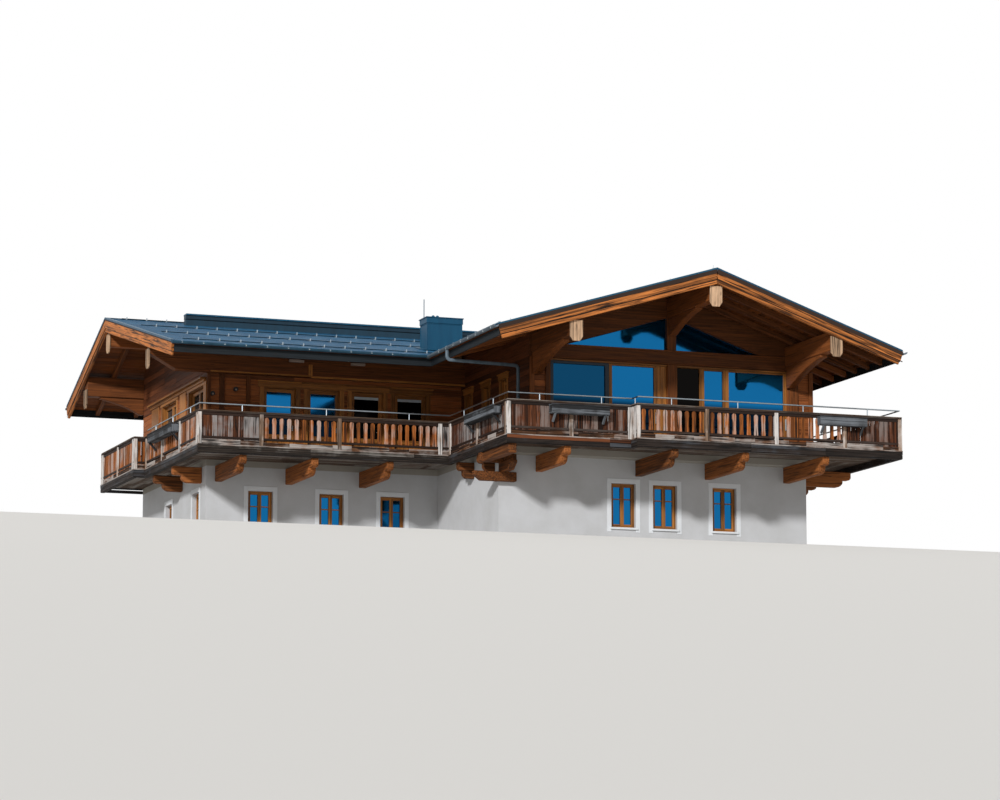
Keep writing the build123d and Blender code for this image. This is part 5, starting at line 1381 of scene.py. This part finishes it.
class CHALET_OT_boxes(bpy.types.Operator):
    """Open flower boxes of stained boards on slanted struts, filled with earth"""

    bl_idname = "chalet.boxes"
    bl_label = "Flower boxes"

    def execute(self, context):
        wood, earth = [], []
        level, depth, half, board = 4.19, 0.26, 0.13, 0.032
        z0, z1 = level - half, level + half
        for x, y, out, length in (
            (0.77, DECK_FRONT, (0, -1, 0), 1.83),
            (DECK_EAST - 2.07, DECK_STEP, (0, -1, 0), 1.55),
            (DECK_WEST, DECK_FRONT + 1.79, (-1, 0, 0), 2.56),
            (DECK_SIDE, 0.72, (-1, 0, 0), 2.9),
        ):
            out = Vector(out)
            along = Vector((-out.y, out.x, 0))
            wall = (Vector((x, y, 0)) - along * length / 2, along, out)
            # Floor, two courses of boards at the front and the back, ends and rims
            wood += slabs(wall, (0, length, z0, z0 + 0.03, 0, depth))
            for d0, d1 in ((0, board), (depth - board, depth)):
                for low in (z0 + 0.03, z0 + 0.142):
                    wood += slabs(wall, (0, length, low, low + 0.106, d0, d1))
            for s in (0, length - 0.035):
                wood += slabs(wall, (s, s + 0.035, z0 + 0.03, z1 - 0.03, board, depth - board))
            for d0, d1 in ((depth - 0.05, depth + 0.02), (0.016, 0.06)):
                wood += slabs(wall, (-0.02, length + 0.02, z1 - 0.01, z1 + 0.018, d0, d1))
            for s in (0.12, length - 0.12):
                foot = wall[0] + along * s + UP * (z0 - 0.23)
                head = wall[0] + along * s + out * (depth - 0.04) + UP * (z0 + 0.005)
                wood.append(bar(foot, head, 0.06, 0.06))
            earth += slabs(wall, (0.035, length - 0.035, z0 + 0.03, z1 - 0.05, board, depth - board))
        soil = lay(earth, 0)
        open_up(soil)
        bpy.ops.mesh.subdivide(number_cuts=3, fractal=0.25, seed=7)
        shut()
        groups = ((wood, 0.005, "box"), (soil, 0, "earth"))
        compose("window_boxes", "box_timber", groups, "flower_boxes", seed=73)
        return {"FINISHED"}


class CHALET_OT_ground(bpy.types.Operator):
    """Painted bands, sills, frames and panes of the ground storey"""

    bl_idname = "chalet.ground"
    bl_label = "Ground storey"

    def execute(self, context):
        bands, frames, panes = [], [], []
        for wall, s, width, z0, z1 in GROUND_OPENINGS:
            s0, s1 = s - width / 2, s + width / 2
            bands += slabs(
                wall,
                (s0 - 0.14, s0, z0 - 0.14, z1 + 0.14, 0, 0.014),
                (s1, s1 + 0.14, z0 - 0.14, z1 + 0.14, 0, 0.014),
                (s0, s1, z1, z1 + 0.14, 0, 0.014),
                (s0 - 0.05, s1 + 0.05, z0 - 0.06, z0, -0.12, 0.06),
            )
            frames += ring(wall, s, width, z0, z1, 0.06, -0.22, -0.13)
            half = (width - 0.1) / 2
            for middle in (s - half / 2, s + half / 2):
                frames += ring(wall, middle, half - 0.004, z0 + 0.05, z1 - 0.05, 0.055, -0.215, -0.115)
            frames += slabs(wall, (s0 + 0.06, s1 - 0.06, z0 + 0.86, z0 + 0.89, -0.185, -0.12))
            panes += slabs(wall, (s0 + 0.05, s1 - 0.05, z0 + 0.05, z1 - 0.05, -0.187, -0.163))
        compose("window_bands", "plaster", ((bands, 0.004, "band"),), seed=81)
        groups = ((frames, 0.004, "frame"), (panes, 0, "glass"))
        compose("ground_casements", "frame_timber", groups, "ground_windows", seed=82)
        names = ("front", "west", "side_front", "side_gable", "back", "east")
        coat_nodes("plaster", *(f"ground_wall_{name}" for name in names))
        coat_nodes("screed", "ground_floor", "upper_floor")
        return {"FINISHED"}


class CHALET_OT_fittings(bpy.types.Operator):
    """Posts, ledges, boards and lamps on the side wing, and the finish of the wall cores"""

    bl_idname = "chalet.fittings"
    bl_label = "Fittings"

    def execute(self, context):
        coat_nodes("core", "west_wall", "east_wall", "side_front_wall", "back_wall", "side_gable_wall")
        coat_nodes("gutter", "downpipe")
        # Uprights and the ledge below the purlin of the side wing's front
        spans = ((0, 0.1), (0.38, 0.54), (1.24, 1.37))
        uprights = slabs(SIDE_FRONT, *((*span, FLOOR, 6.02, 0, 0.07) for span in spans))
        ledges = [
            box((X_SIDE, -0.4, 6.03), (-5.16, -0.36, 6.08)),
            box((-5.1, -0.41, 6.0), (-0.02, -0.36, 6.06)),
            box((-5.2, -0.42, 6.03), (-5.08, -0.36, 6.42)),
        ]
        # Wide boards and the canopy board of the side wing's gable
        spans = ((Y_BACK - 6.74, Y_BACK - 5.83), (Y_BACK - 3.17, Y_BACK - 2.44), (Y_BACK - 0.2, Y_BACK))
        boards = slabs(
            SIDE_GABLE,
            *((*span, FLOOR, 5.8, 0.02, 0.045) for span in spans),
            (Y_BACK - 6.8, Y_BACK - 0.1, 5.88, 5.93, 0, 0.2),
            (Y_BACK - 6.8, Y_BACK - 0.1, 5.8, 5.88, 0, 0.09),
        )
        groups = ((uprights, 0.006, "beam"), (ledges, 0.006, "frame"), (boards, 0.005, "frame"))
        compose("side_wing_trim", "dark_timber", groups, seed=92)
        # Two round wall lamps, two flat ones under the eave and two spots below the ridge
        housings, covers = [], []
        for x, z in ((-8.2, 5.4), (-7.46, 5.57)):
            housings.append(rod((x, -0.02, z), (x, -0.12, z), 0.07, 16))
            covers.append(rod((x, -0.11, z - 0.02), (x, -0.13, z - 0.02), 0.03, 12))
        for x0, x1 in ((-5.84, -5.36), (-3.82, -3.36)):
            covers.append(lay([box((x0, -0.45, 6.46), (x1, -0.36, 6.55))], 0.01))
        for x, y, z in ((4.98, -6.25, 8.12), (5.06, -6.25, 8.13)):
            covers.append(rod((x, y, z), (x, y + 0.1, z), 0.03, 12))
        groups = ((unite(housings), 0, "lamp"), (unite(covers), 0, "shade"))
        compose("wall_lamps", "gutter_metal", groups, seed=91)
        return {"FINISHED"}


class CHALET_PT_panel(bpy.types.Panel):
    """Lists the groups of the chalet and the sizes a user would change"""

    bl_idname = "CHALET_PT_panel"
    bl_label = "Alpine chalet"
    bl_space_type = "VIEW_3D"
    bl_region_type = "UI"
    bl_category = "Chalet"

    def draw(self, context):
        for group in (context.scene.chalet_sizes, context.scene.chalet_colours):
            for name in type(group).__annotations__:
                self.layout.prop(group, name)
        for step in steps:
            self.layout.operator(step.bl_idname)


steps = (
    CHALET_OT_stage,
    CHALET_OT_covering,
    CHALET_OT_roof_trim,
    CHALET_OT_soffit,
    CHALET_OT_roof_timbers,
    CHALET_OT_cladding,
    CHALET_OT_openings,
    CHALET_OT_facade,
    CHALET_OT_balcony,
    CHALET_OT_consoles,
    CHALET_OT_boxes,
    CHALET_OT_ground,
    CHALET_OT_fittings,
)
classes = (ChaletSizes, ChaletColours, *steps, CHALET_PT_panel)


def register():
    for item in classes:
        bpy.utils.register_class(item)
    bpy.types.Scene.chalet_sizes = bpy.props.PointerProperty(type=ChaletSizes)
    bpy.types.Scene.chalet_colours = bpy.props.PointerProperty(type=ChaletColours)


def unregister():
    del bpy.types.Scene.chalet_sizes
    del bpy.types.Scene.chalet_colours
    for item in reversed(classes):
        bpy.utils.unregister_class(item)


def main():
    """Builds every group in order."""
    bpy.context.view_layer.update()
    register()
    bpy.ops.chalet.stage()
    bpy.ops.chalet.covering()
    bpy.ops.chalet.roof_trim()
    bpy.ops.chalet.soffit()
    bpy.ops.chalet.roof_timbers()
    bpy.ops.chalet.cladding()
    bpy.ops.chalet.openings()
    bpy.ops.chalet.facade()
    bpy.ops.chalet.balcony()
    bpy.ops.chalet.consoles()
    bpy.ops.chalet.boxes()
    bpy.ops.chalet.ground()
    bpy.ops.chalet.fittings()


if __name__ == "__main__":
    main()
